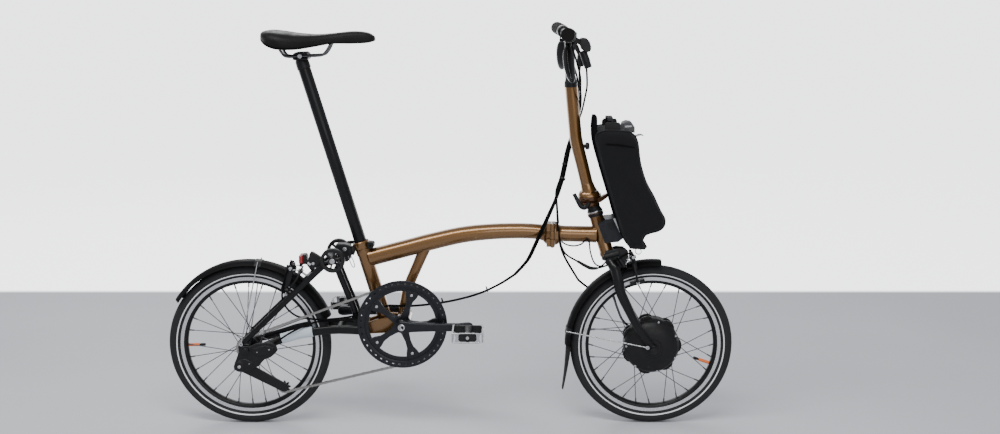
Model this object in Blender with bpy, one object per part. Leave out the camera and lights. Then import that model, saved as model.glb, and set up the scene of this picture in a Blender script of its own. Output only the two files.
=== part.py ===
"""Folding bicycle with a front hub motor and a battery bag.

Metres, +Z up. The bicycle faces +X and its left side is +Y. The origin is on
the ground, midway between the wheels. Every named object is one closed solid.
"""
import math

import bpy
import bmesh
from mathutils import Vector

# ---- driving dimensions ----------------------------------------------------
WHEELBASE = 1.045
TYRE_R = 0.2108
TYRE_HALF_W = 0.018
RIM_R = 0.1785
WHEEL_SIDES = 44
REAR = Vector((-WHEELBASE / 2, 0, TYRE_R))
FRONT = Vector((WHEELBASE / 2, 0, TYRE_R))
AXLE_R = 0.0049
GAP = 0.0004

BB = Vector((-0.1215, 0, 0.278))            # crank axis
PIVOT = Vector((-0.2200, 0, 0.2570))        # rear frame pivot
SEAT_TOP = Vector((-0.2305, 0, 0.4826))     # on the seat tube axis
SEAT_UP = Vector((-0.30, 0, 1.0)).normalized()
HEAD_TOP = Vector((0.3723, 0, 0.5600))
HEAD_DOWN = Vector((0.3015, 0, -1.0)).normalized()
HEAD_LEN = 0.116
MAIN_HINGE = Vector((0.262, -0.0365, 0))    # vertical barrel on the right side
POST_HINGE = Vector((0, 0.0270, 0.6000))    # fore-and-aft pin on the left side

SEAT_POST_R = 0.0159
CHAINRING_R = 0.1051
SPROCKET_R = 0.0263
PULLEY_R = 0.0150
CRANK_LEN = 0.170
CHAIN_Y_FRONT = -0.0520
CHAIN_Y_REAR = -0.0450
KNUCKLE = Vector((-0.5399, 0, 0.1694))      # tensioner arm pivot
PULLEY = Vector((-0.4291, 0, 0.1091))
GUARD_IN = 0.2225                           # mudguard inner radius
GUARD_OUT = 0.2240
GUARD_HALF_W = 0.027
REAR_BRAKE_ANGLE = 54.5                     # degrees round the rear wheel
FRONT_BRAKE_ANGLE = 103.0
BRAKE_BOLT_R = 0.2360                       # brake pivot, from the wheel axle


# ---- helpers ---------------------------------------------------------------
def clear_scene():
    for obj in list(bpy.data.objects):
        bpy.data.objects.remove(obj, do_unlink=True)


def new_object(name, bm):
    bmesh.ops.recalc_face_normals(bm, faces=bm.faces)
    mesh = bpy.data.meshes.new(name)
    bm.to_mesh(mesh)
    bm.free()
    obj = bpy.data.objects.new(name, mesh)
    bpy.context.scene.collection.objects.link(obj)
    return obj


def loft(name, rings, closed=False):
    """Skin through rings of equal length, capped at both ends unless closed."""
    bm = bmesh.new()
    rows = [[bm.verts.new(p) for p in ring] for ring in rings]
    count = len(rows)
    for i in range(count if closed else count - 1):
        a, b = rows[i], rows[(i + 1) % count]
        for k in range(len(a)):
            n = (k + 1) % len(a)
            bm.faces.new((a[k], a[n], b[n], b[k]))
    if not closed:
        bm.faces.new(rows[0])
        bm.faces.new(rows[-1])
    return new_object(name, bm)


def tube(name, path, radii, sides=12, flat=None):
    """Round or oval bar along a path. flat is (side axis, side half-width)."""
    path = [Vector(p) for p in path]
    if not isinstance(radii, (list, tuple)):
        radii = [radii] * len(path)
    rings = []
    side = None
    for i, p in enumerate(path):
        t = (path[min(i + 1, len(path) - 1)] - path[max(i - 1, 0)]).normalized()
        if side is None:
            ref = Vector((0, 1, 0)) if abs(t.y) < 0.9 else Vector((1, 0, 0))
            side = (ref - t * ref.dot(t)).normalized()
        else:
            side = (side - t * side.dot(t)).normalized()
        up = t.cross(side)
        ring = []
        for k in range(sides):
            a = 2 * math.pi * (k + 0.5) / sides
            r = radii[i]
            rs = r if flat is None else flat * r
            ring.append(p + side * (math.cos(a) * rs) + up * (math.sin(a) * r))
        rings.append(ring)
    return loft(name, rings)


def cylinder(name, a, b, r, sides=16):
    return tube(name, [a, b], r, sides)


def lathe(name, centre, profile, sides=32, axis="Y", closed=True, phase=0.0):
    """Turn (radius, offset) points about an axis through centre."""
    rings = []
    for k in range(sides):
        a = 2 * math.pi * (k + phase) / sides
        c, s = math.cos(a), math.sin(a)
        if axis == "Y":
            ring = [centre + Vector((r * c, o, r * s)) for r, o in profile]
        else:
            w = axis.normalized()
            u = Vector((0, 1, 0))
            v = w.cross(u)
            ring = [centre + u * (r * c) + v * (r * s) + w * o for r, o in profile]
        rings.append(ring)
    bm = bmesh.new()
    if closed:
        rows = [[bm.verts.new(p) for p in ring] for ring in rings]
        for i in range(sides):
            a, b = rows[i], rows[(i + 1) % sides]
            for k in range(len(profile)):
                n = (k + 1) % len(profile)
                bm.faces.new((a[k], a[n], b[n], b[k]))
    else:
        rows = [[bm.verts.new(p) for p in ring] for ring in rings]
        for i in range(sides):
            a, b = rows[i], rows[(i + 1) % sides]
            for k in range(len(profile) - 1):
                bm.faces.new((a[k], a[k + 1], b[k + 1], b[k]))
        bm.faces.new([row[0] for row in rows])
        bm.faces.new([row[-1] for row in rows])
    return new_object(name, bm)


def prism(name, outline, y0, y1):
    """Plate with an (x, z) outline between two Y planes."""
    return loft(name, [[Vector((x, y0, z)) for x, z in outline],
                       [Vector((x, y1, z)) for x, z in outline]])


def box(name, low, high):
    return prism(name, [(low[0], low[2]), (high[0], low[2]),
                        (high[0], high[2]), (low[0], high[2])], low[1], high[1])


def slab(name, centre, normal, low, high, half=0.4):
    """Square slab between two offsets along its normal, which lies in the XZ plane."""
    u, v = Vector((0, half, 0)), normal.cross(Vector((0, half, 0)))
    return loft(name, [[centre + normal * o + u + v, centre + normal * o - u + v,
                        centre + normal * o - u - v, centre + normal * o + u - v]
                       for o in (low, high)])


def boolean(base, others, operation):
    for other in others:
        mod = base.modifiers.new("b", "BOOLEAN")
        mod.operation = operation
        mod.solver = "EXACT"
        mod.object = other
    graph = bpy.context.evaluated_depsgraph_get()
    mesh = bpy.data.meshes.new_from_object(base.evaluated_get(graph))
    base.modifiers.clear()
    base.data = mesh
    for other in others:
        bpy.data.objects.remove(other, do_unlink=True)
    bm = bmesh.new()
    bm.from_mesh(mesh)
    bmesh.ops.dissolve_limit(bm, angle_limit=0.001, verts=bm.verts, edges=bm.edges)
    bmesh.ops.triangulate(bm, faces=bm.faces)
    bmesh.ops.remove_doubles(bm, verts=bm.verts, dist=1e-6)
    bmesh.ops.dissolve_degenerate(bm, edges=bm.edges, dist=1e-6)
    bm.to_mesh(mesh)
    bm.free()
    return base


def unite(name, parts):
    base = parts[0]
    boolean(base, parts[1:], "UNION")
    base.name = name
    return base


def cut(base, others):
    return boolean(base, others, "DIFFERENCE")


def at(x, y, z):
    return Vector((x, y, z))


def on_y(p, y):
    return Vector((p.x, y, p.z))


def polar(centre, radius, degrees, y=0.0):
    a = math.radians(degrees)
    return Vector((centre.x + radius * math.cos(a), y, centre.z + radius * math.sin(a)))


# ---- wheels ----------------------------------------------------------------
def tyre(name, hub):
    k = 1 / math.cos(math.pi / WHEEL_SIDES)
    w = TYRE_HALF_W
    half = [(0.1828, 0.0126), (0.1870, 0.0155), (0.1930, w), (0.2010, w),
            (0.2065, 0.0140), (0.2108, 0.0070)]
    section = [(r * k, y) for r, y in half] + [(r * k, -y) for r, y in reversed(half)]
    return lathe(name, hub, section, WHEEL_SIDES, phase=0.5)


def rim(name, hub):
    k = 1 / math.cos(math.pi / WHEEL_SIDES)
    section = [(0.1625, 0.0060), (0.1660, 0.0110), (0.1822, 0.0115), (0.1822, -0.0115),
               (0.1660, -0.0110), (0.1625, -0.0060)]
    return lathe(name, hub, [(r * k, y) for r, y in section], WHEEL_SIDES, phase=0.5)


def spoked_ring(name, hub, inner, waist, outer_of, half_w, spokes, spoke_r, tip_r, tip_y):
    """Two flanges joined by a waist, with spokes drawn from their rims, turn about left and right."""
    sides = spokes * 2
    rim_w = 0.0026
    bm = bmesh.new()
    rows = []
    for k in range(sides):
        a = 2 * math.pi * (k + 0.5) / sides
        ro = outer_of(a)
        section = ((inner, -half_w), (ro, -half_w), (ro, rim_w - half_w), (waist, rim_w - half_w),
                   (waist, half_w - rim_w), (ro, half_w - rim_w), (ro, half_w), (inner, half_w))
        rows.append([bm.verts.new(hub + Vector((r * math.cos(a), y, r * math.sin(a))))
                     for r, y in section])
    starts = []
    for k in range(sides):
        a, b = rows[k], rows[(k + 1) % sides]
        for i in range(8):
            n = (i + 1) % 8
            face = bm.faces.new((a[i], a[n], b[n], b[i]))
            if k % 2 == 0 and i == (1 if (k // 2) % 2 else 5):
                starts.append((face, k))
    for face, k in starts:
        out = bmesh.ops.extrude_discrete_faces(bm, faces=[face])["faces"][0]
        a = 2 * math.pi * (k + 1) / sides
        radial = Vector((math.cos(a), 0, math.sin(a)))
        across = Vector((-math.sin(a), 0, math.cos(a)))
        middle = out.calc_center_median()
        tip = hub + radial * tip_r + Vector((0, math.copysign(tip_y, middle.y), 0))
        for v in out.verts:
            d = v.co - middle
            v.co = tip + across * math.copysign(spoke_r, d.dot(across)) \
                + Vector((0, math.copysign(spoke_r, d.y), 0))
    return new_object(name, bm)


def rear_wheel():
    tyre("rear_tyre", REAR)
    rim("rear_rim", REAR)
    ring = spoked_ring("rear_spokes", REAR, 0.0090, 0.0150, lambda a: 0.0250, 0.0280, 28,
                       0.0011, 0.1620, 0.0040)
    hub = lathe("hub", REAR, [(0.0054, -0.0410), (0.0108, -0.0410), (0.0108, 0.0500),
                              (0.0054, 0.0500)], 20)
    unite("rear_spokes", [ring, hub])
    lathe("sprocket", REAR, [(0.0113, -0.0475), (0.0215, -0.0475), (0.0215, -0.0425),
                             (0.0113, -0.0425)], 26)


def front_wheel():
    tyre("front_tyre", FRONT)
    rim("front_rim", FRONT)
    lobes = 7
    spoked_ring("front_spokes", FRONT, 0.0705, 0.0728,
                lambda a: 0.0765 + 0.0022 * math.cos(lobes * (a + math.radians(1))),
                0.0160, 28, 0.0011, 0.1620, 0.0040)
    lathe("hub_motor", FRONT,
          [(0.0054, -0.0470), (0.0200, -0.0470), (0.0460, -0.0430), (0.0630, -0.0330),
           (0.0700, -0.0200), (0.0700, 0.0200), (0.0630, 0.0330), (0.0460, 0.0430),
           (0.0200, 0.0470), (0.0054, 0.0470)], 32)


# ---- main frame ------------------------------------------------------------
MAIN_PATH = [(-0.2180, 0, 0.4375), (-0.1938, 0, 0.4440), (-0.1029, 0, 0.4680),
             (-0.0486, 0, 0.4825), (0.0311, 0, 0.5005), (0.1067, 0, 0.5088),
             (0.1862, 0, 0.5110), (0.2460, 0, 0.5068)]
MAIN_R = [0.0225, 0.0225, 0.0222, 0.0220, 0.0212, 0.0205, 0.0198, 0.0195]
STRUT_PATH = [(-0.0560, 0, 0.4840), (-0.0674, 0, 0.4604), (-0.1072, 0, 0.3678),
              (-0.1175, 0, 0.3200), (-0.1212, 0, 0.2850)]
HINGE_PLATE = [(0.0205, 0.0270), (0.0290, 0.0100), (0.0290, -0.0100), (0.0205, -0.0290),
               (-0.0205, -0.0290), (-0.0290, -0.0100), (-0.0290, 0.0100), (-0.0205, 0.0270)]


def seat_axis(s):
    return SEAT_TOP + SEAT_UP * s


def seat_tube_solid(name, r):
    return cylinder(name, seat_axis(-0.2400), seat_axis(0.0200), r, 24)


def hinge_flange(name, x0, x1):
    rings = [[Vector((x, y, 0.5060 + z)) for y, z in HINGE_PLATE] for x in (x0, x1)]
    return loft(name, rings)


def knuckle(name, z0, z1, r, web_to):
    """Barrel of the main hinge with a web reaching the flange at web_to."""
    barrel = cylinder(name, at(MAIN_HINGE.x, MAIN_HINGE.y, z0),
                      at(MAIN_HINGE.x, MAIN_HINGE.y, z1), r, 16)
    return barrel, box("web", (min(MAIN_HINGE.x, web_to), MAIN_HINGE.y - 0.003, z0),
                       (max(MAIN_HINGE.x, web_to), -0.0240, z1))


def barrel_solid(name, z0, z1, r):
    return cylinder(name, at(MAIN_HINGE.x, MAIN_HINGE.y, z0),
                    at(MAIN_HINGE.x, MAIN_HINGE.y, z1), r, 16)


def main_tube():
    body = tube("main_tube", MAIN_PATH, MAIN_R, 16)
    flange = hinge_flange("flange", 0.2440, 0.2616)
    low, low_web = knuckle("k1", 0.4760, 0.4955, 0.0066, 0.2480)
    high, high_web = knuckle("k2", 0.5165, 0.5360, 0.0066, 0.2480)
    lever_lug = box("lug", (0.2440, 0.0200, 0.4990), (0.2560, 0.0345, 0.5130))
    body = unite("main_tube", [body, flange, low, low_web, high, high_web, lever_lug])
    cut(body, [seat_tube_solid("c1", 0.0184), barrel_solid("c2", 0.4951, 0.5169, 0.0075)])
    pin = barrel_solid("pin", 0.4900, 0.5220, 0.0030)
    unite("main_tube", [body, pin])


def front_tube():
    body = tube("front_tube", [(0.2700, 0, 0.5050), (0.3000, 0, 0.5035), (0.3603, 0, 0.5020),
                               (0.3760, 0, 0.5018)], [0.0195, 0.0205, 0.0208, 0.0208], 16)
    flange = hinge_flange("flange", 0.2624, 0.2790)
    mid, web = knuckle("k", 0.4961, 0.5159, 0.0066, 0.2760)
    body = unite("front_tube", [body, flange, mid, web])
    cut(body, [cylinder("c1", HEAD_TOP - HEAD_DOWN * 0.03, HEAD_TOP + HEAD_DOWN * 0.15, 0.0180, 24),
               barrel_solid("c2", 0.4700, 0.4957, 0.0075), barrel_solid("c3", 0.5163, 0.5420, 0.0075),
               barrel_solid("c4", 0.4700, 0.5420, 0.0035)])


def main_frame():
    main_tube()
    seat = lathe("seat_tube", SEAT_TOP,
                 [(0.0163, -0.2330), (0.0180, -0.2330), (0.0180, -0.0180), (0.0210, -0.0170),
                  (0.0210, 0.0010), (0.0163, 0.0010)], 24, SEAT_UP)
    skewer = at(-0.2035, 0, 0.4760)
    ears = box("ears", (-0.2120, -0.0110, 0.4690), (-0.1960, 0.0110, 0.4830))
    nut = cylinder("nut", on_y(skewer, -0.0210), on_y(skewer, 0.0118), 0.0085, 16)
    bore = cylinder("bore", seat_axis(-0.05), seat_axis(0.02), 0.0163, 24)
    seat = unite("seat_tube", [seat, ears, nut])
    cut(seat, [bore])

    strut = tube("frame_strut", STRUT_PATH, 0.0135, 14)
    cut(strut, [tube("c1", MAIN_PATH, [r + GAP for r in MAIN_R], 16),
                cylinder("c2", on_y(BB, -0.05), on_y(BB, 0.05), 0.0204, 24)])

    shell = lathe("shell", BB, [(0.0086, -0.0340), (0.0200, -0.0340), (0.0200, 0.0340),
                                (0.0086, 0.0340)], 24)
    lug = prism("lug", [(-0.2230, 0.2440), (-0.2230, 0.2690), (-0.1880, 0.2830),
                        (-0.1360, 0.2870), (-0.1300, 0.2630), (-0.1600, 0.2470)],
                -0.0265, 0.0265)
    barrel = cylinder("barrel", on_y(PIVOT, -0.0290), on_y(PIVOT, 0.0290), 0.0140, 20)
    lower = unite("bottom_bracket", [shell, lug, barrel])
    cut(lower, [cylinder("c1", seat_axis(-0.3000), seat_axis(0.0200), 0.0184, 24),
                cylinder("c2", on_y(PIVOT, -0.05), on_y(PIVOT, 0.05), 0.0054, 16),
                cylinder("c3", on_y(BB, -0.05), on_y(BB, 0.05), 0.0086, 24)])

    tube("main_hinge_lever", [(0.2530, 0.0405, 0.5060), (0.2440, 0.0405, 0.5060),
                              (0.2200, 0.0340, 0.5070), (0.1700, 0.0300, 0.5095)],
         [0.0075, 0.0090, 0.0085, 0.0060], 10, flat=0.45)
    tube("seat_clamp_lever", [(-0.1990, 0.0170, 0.4760), (-0.2080, 0.0190, 0.4760),
                              (-0.2170, 0.0275, 0.4760), (-0.2680, 0.0290, 0.4750)],
         [0.0050, 0.0060, 0.0055, 0.0045], 10, flat=0.7)


def seat():
    cylinder("seat_post", seat_axis(-0.0850), seat_axis(0.4830), SEAT_POST_R, 24)
    post_cut = cylinder("c1", seat_axis(0.30), seat_axis(0.4834), SEAT_POST_R + GAP, 24)
    rails = []
    for y in (-0.022, 0.022):
        rails.append(tube("rail", [(-0.4270, y * 1.3, 0.9960), (-0.4170, y, 0.9700),
                                   (-0.4020, y, 0.9565), (-0.3180, y, 0.9600),
                                   (-0.2990, y * 0.9, 0.9780), (-0.2910, y * 0.7, 0.9960)],
                          0.0035, 8))
    yoke = box("yoke", (-0.3880, -0.0280, 0.9490), (-0.3500, 0.0280, 0.9660))
    collar = cylinder("collar", seat_axis(0.4620), seat_axis(0.4890), 0.0185, 20)
    clamp = unite("saddle_rails", [yoke, collar] + rails)
    cut(clamp, [post_cut])

    # stations: x, half width, top, skirt bottom, crown drop at the edge
    stations = [(-0.4665, 0.030, 1.0140, 1.0040), (-0.4600, 0.056, 1.0200, 0.9960),
                (-0.4476, 0.072, 1.0222, 0.9860), (-0.4300, 0.080, 1.0215, 0.9785),
                (-0.4080, 0.081, 1.0188, 0.9760), (-0.3743, 0.069, 1.0142, 0.9762),
                (-0.3295, 0.046, 1.0118, 0.9825), (-0.2900, 0.031, 1.0142, 0.9890),
                (-0.2400, 0.025, 1.0190, 0.9892), (-0.2050, 0.022, 1.0165, 0.9905),
                (-0.1850, 0.012, 1.0070, 0.9945)]
    rings = []
    for x, w, top, low in stations:
        h = top - low
        half = [(0, top - 0.002), (0.45, top), (0.80, top - 0.10 * h), (0.97, top - 0.38 * h),
                (1.0, low + 0.25 * h), (0.93, low), (0.6, low + 0.10 * h)]
        ring = [Vector((x, w * f, z)) for f, z in half]
        ring += [Vector((x, -w * f, z)) for f, z in reversed(half[1:])]
        rings.append(ring)
    saddle = loft("saddle", rings)
    room = box("room", (-0.4315, -0.0340, 0.9400), (-0.2840, 0.0340, 0.9996))
    cut(saddle, [room])


# ---- rear frame ------------------------------------------------------------
STAY_UP = Vector((0.2080, 0, 0.2020)).normalized()
STAY_FOOT = Vector((-0.5225, 0, 0.2350))


def rear_frame():
    pieces = []
    for s in (-1, 1):
        pieces.append(tube("stay", [(-0.5225, s * 0.0562, 0.2108), (-0.4950, s * 0.0555, 0.2135),
                                    (-0.4400, s * 0.0440, 0.2320), (-0.3900, s * 0.0400, 0.2470),
                                    (-0.3000, s * 0.0400, 0.2590), (-0.2200, s * 0.0400, 0.2570)],
                           [0.0090, 0.0095, 0.0105, 0.0110, 0.0115, 0.0120], 10, flat=0.58))
        pieces.append(cylinder("drop", at(REAR.x, s * 0.0565, REAR.z), at(REAR.x, s * 0.0615, REAR.z),
                               0.0160, 16))
        pieces.append(cylinder("eye", on_y(PIVOT, s * 0.0315), on_y(PIVOT, s * 0.0470), 0.0150, 16))
    pieces.append(cylinder("pin", on_y(PIVOT, -0.0470), on_y(PIVOT, 0.0470), 0.0050, 12))
    pieces.append(cylinder("bridge", at(-0.2870, -0.0400, 0.2585), at(-0.2870, 0.0400, 0.2585),
                           0.0085, 12))
    stays = unite("chainstays", pieces)
    cut(stays, [cylinder("c", on_y(REAR, -0.08), on_y(REAR, 0.08), 0.0053, 12)])

    pieces = []
    for s in (-1, 1):
        pieces.append(tube("stay", [(-0.5225, s * 0.0575, 0.2355), (-0.5086, s * 0.0570, 0.2500),
                                    (-0.3700, s * 0.0440, 0.3830), (-0.3085, s * 0.0340, 0.4400)],
                           0.0075, 10))
    centre, out = brake_bolt(REAR, REAR_BRAKE_ANGLE, 1)
    foot = centre - out * 0.0254
    pieces.append(cylinder("bridge", on_y(foot, -0.0440), on_y(foot, 0.0440), 0.0065, 12))
    pieces.append(cylinder("head", at(-0.3085, -0.0430, 0.4400), at(-0.3085, 0.0430, 0.4400),
                           0.0110, 14))
    pieces.append(cylinder("shaft", at(-0.2950, -0.0755, 0.4465), at(-0.2950, 0.0755, 0.4465),
                           0.0040, 10))
    pieces.append(box("tie", (-0.3090, -0.0420, 0.4405), (-0.2930, -0.0300, 0.4525)))
    pieces.append(box("tie", (-0.3090, 0.0300, 0.4405), (-0.2930, 0.0420, 0.4525)))
    pieces.append(cylinder("bolt", foot, centre + out * 0.0070, 0.0028, 10))
    unite("seatstays", pieces)

    pieces = []
    for s in (-1, 1):
        pieces.append(tube("post", [(-0.2870, s * 0.0210, 0.4180), (-0.2860, s * 0.0210, 0.4100),
                                    (-0.2460, s * 0.0210, 0.3040), (-0.2455, s * 0.0210, 0.2860)],
                           0.0085, 12))
    pieces.append(cylinder("low", at(-0.2455, -0.0310, 0.2860), at(-0.2455, 0.0310, 0.2860),
                           0.0085, 12))
    pieces.append(cylinder("top", at(-0.2870, -0.0310, 0.4180), at(-0.2870, 0.0310, 0.4180),
                           0.0095, 12))
    unite("rear_uprights", pieces)

    block = prism("suspension_block", [(-0.2960, 0.4560), (-0.2960, 0.4790), (-0.2700, 0.4790),
                                       (-0.2455, 0.4690), (-0.2420, 0.4530), (-0.2600, 0.4300),
                                       (-0.2830, 0.4300)], -0.0150, 0.0150)
    cut(block, [seat_tube_solid("c1", 0.0216),
                cylinder("c2", at(-0.2950, -0.08, 0.4465), at(-0.2950, 0.08, 0.4465), 0.0045, 12),
                cylinder("c3", at(-0.3085, -0.05, 0.4400), at(-0.3085, 0.05, 0.4400), 0.0116, 14)])

    for s, name in ((-1, "right"), (1, "left")):
        lathe("roller_" + name, at(-0.2950, s * 0.0640, 0.4465),
              [(0.0045, -0.0100), (0.0130, -0.0100), (0.0130, -0.0040), (0.0220, -0.0040),
               (0.0220, -0.0085), (0.0310, -0.0075), (0.0310, 0.0075), (0.0220, 0.0085),
               (0.0220, 0.0040), (0.0130, 0.0040), (0.0130, 0.0100), (0.0045, 0.0100)], 18)

    axle = [cylinder("rear_axle", on_y(REAR, -0.0745), on_y(REAR, 0.0745), AXLE_R, 12),
            cylinder("nut", on_y(REAR, -0.0742), on_y(REAR, -0.0686), 0.0085, 6),
            cylinder("nut", on_y(REAR, 0.0620), on_y(REAR, 0.0690), 0.0085, 6)]
    unite("rear_axle", axle)

    mudguard("rear_mudguard", REAR, 20, 147, [(-0.5000, 0.0275, 0.4320), (-0.5345, 0.0655, 0.2270)])

    lamp = [box("rear_light", (-0.3895, -0.0150, 0.4260), (-0.3700, 0.0150, 0.4490)),
            box("stem", (-0.3890, -0.0040, 0.4190), (-0.3845, 0.0040, 0.4280))]
    unite("rear_light", lamp)

    body = prism("derailleur_body", [(-0.5320, 0.2220), (-0.5120, 0.2225), (-0.4980, 0.2290),
                                     (-0.4700, 0.2330), (-0.4450, 0.2290), (-0.4410, 0.2120),
                                     (-0.4560, 0.1960), (-0.4760, 0.1870), (-0.4900, 0.1700),
                                     (-0.5250, 0.1570), (-0.5440, 0.1550), (-0.5550, 0.1680),
                                     (-0.5480, 0.1880)], -0.0680, -0.0622)
    pin = cylinder("pin", on_y(KNUCKLE, -0.0640), on_y(KNUCKLE, -0.0500), 0.0030, 10)
    boss = cylinder("boss", on_y(KNUCKLE, -0.0640), on_y(KNUCKLE, -0.0580), 0.0140, 14)
    body = unite("derailleur_body", [body, pin, boss])
    cut(body, [cylinder("c", on_y(REAR, -0.09), on_y(REAR, 0.0), 0.0053, 12)])

    arm = tube("arm", [on_y(KNUCKLE, -0.0540), on_y(PULLEY, -0.0540)], [0.0140, 0.0105], 8, flat=0.28)
    boss = cylinder("boss", on_y(KNUCKLE, -0.0575), on_y(KNUCKLE, -0.0500), 0.0145, 14)
    tip = cylinder("tip", on_y(PULLEY, -0.0575), on_y(PULLEY, -0.0500), 0.0120, 14)
    pin = cylinder("pin", on_y(PULLEY, -0.0540), on_y(PULLEY, -0.0410), 0.0028, 10)
    arm = unite("tensioner_arm", [arm, boss, tip, pin])
    cut(arm, [cylinder("c", on_y(KNUCKLE, -0.07), on_y(KNUCKLE, -0.04), 0.0034, 12)])
    lathe("tensioner_pulley", on_y(PULLEY, 0), [(0.0032, -0.0494), (0.0105, -0.0494),
                                                (0.0105, -0.0410), (0.0032, -0.0410)], 20)


def mudguard(name, hub, start, end, wire):
    """Curved blade over the tyre, with a wire stay on each side."""
    count = max(6, round((end - start) / 7))
    w, i, o = GUARD_HALF_W, GUARD_IN, GUARD_OUT
    section = [(i - 0.006, w), (i - 0.001, w * 0.8), (i, w * 0.4), (i, -w * 0.4),
               (i - 0.001, -w * 0.8), (i - 0.006, -w), (o - 0.005, -w - 0.0012),
               (o, -w * 0.8), (o + 0.001, -w * 0.4), (o + 0.001, w * 0.4), (o, w * 0.8),
               (o - 0.005, w + 0.0012)]
    rings = []
    for k in range(count + 1):
        a = start + (end - start) * k / count
        rings.append([polar(hub, r, a, y) for r, y in section])
    blade = loft(name, rings)
    wires = []
    for s in (-1, 1):
        top, low = [Vector((x, s * y, z)) for x, y, z in wire]
        wires.append(tube("wire", [top, low], 0.0018, 6))
    return unite(name, [blade] + wires)


def brake_bolt(hub, angle, way):
    """Pivot point of a brake above the tyre, and the bolt's outward direction along the tyre."""
    return polar(hub, BRAKE_BOLT_R, angle), polar(Vector(), 1.0, angle + 90 * way)


def caliper(prefix, hub, angle, way):
    """Two side-pull arms turning on one bolt."""
    e = polar(Vector(), 1.0, angle)
    offset_dir = brake_bolt(hub, angle, way)[1]
    inner = -0.0010
    for s, side, shift in ((-1, "right", inner), (1, "left", inner + 0.0052)):
        def p(r, y):
            return hub + e * r + Vector((0, s * y, 0)) + offset_dir * shift
        bar = [p(0.2360, -0.0150), p(0.2372, 0.0), p(0.2400, 0.0230), p(0.2260, 0.0375),
               p(0.2000, 0.0395), p(0.1760, 0.0350)]
        arm = tube("arm", bar, [0.0045, 0.0068, 0.0058, 0.0055, 0.0050, 0.0050], 8)
        mid = hub + offset_dir * shift
        flats = [slab("f", mid, offset_dir, -0.0500, -0.0022), slab("f", mid, offset_dir, 0.0022, 0.0500)]
        pad_mid = hub + e * 0.1735 + Vector((0, s * 0.0245, 0)) + offset_dir * shift
        along = Vector((-e.z, 0, e.x))
        pad = loft("pad", [[pad_mid + along * u + e * v + Vector((0, s * y, 0))
                            for u, v in ((-0.019, -0.0040), (0.019, -0.0040), (0.019, 0.0040), (-0.019, 0.0040))]
                           for y in (-0.0105, -0.0015)])
        stud = cylinder("stud", pad_mid + Vector((0, -s * 0.004, 0)),
                        pad_mid + Vector((0, s * 0.0110, 0)), 0.0040, 8)
        centre = hub + e * 0.2360
        bore = cylinder("bore", centre - offset_dir * 0.05, centre + offset_dir * 0.05, 0.0033, 12)
        cut(arm, flats)
        arm = unite("%s_caliper_%s" % (prefix, side), [arm, pad, stud])
        cut(arm, [bore])


# ---- chain drive -----------------------------------------------------------
def chain_loop(grow):
    """Centre line of the chain: outer loop round chainring, sprocket and pulley."""
    wheels = [(BB, CHAINRING_R + grow, CHAIN_Y_FRONT), (REAR, SPROCKET_R + grow, CHAIN_Y_REAR),
              (PULLEY, PULLEY_R + grow, CHAIN_Y_REAR)]
    arcs = []
    normals = []
    for k in range(3):
        c0, r0, _ = wheels[k]
        c1, r1, _ = wheels[(k + 1) % 3]
        d = Vector((c1.x - c0.x, c1.z - c0.z))
        base = math.atan2(d.y, d.x)
        normals.append(base - math.acos((r0 - r1) / d.length))
    points = []
    for k in range(3):
        c, r, y = wheels[k]
        a0 = normals[k - 1]
        a1 = normals[k]
        while a1 < a0:
            a1 += 2 * math.pi
        steps = max(3, round(math.degrees(a1 - a0) / (12 if r > 0.05 else 26)))
        for i in range(steps + 1):
            a = a0 + (a1 - a0) * i / steps
            points.append(Vector((c.x + r * math.cos(a), y, c.z + r * math.sin(a))))
    return points


def chain():
    points = chain_loop(0.0)
    count = len(points)
    rings = []
    for i, p in enumerate(points):
        t = (points[(i + 1) % count] - points[i - 1]).normalized()
        side = Vector((0, 1, 0))
        up = t.cross(side).normalized()
        rings.append([p + side * 0.0030 + up * 0.0036, p - side * 0.0030 + up * 0.0036,
                      p - side * 0.0030 - up * 0.0036, p + side * 0.0030 - up * 0.0036])
    loft("chain", rings, closed=True)


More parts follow.
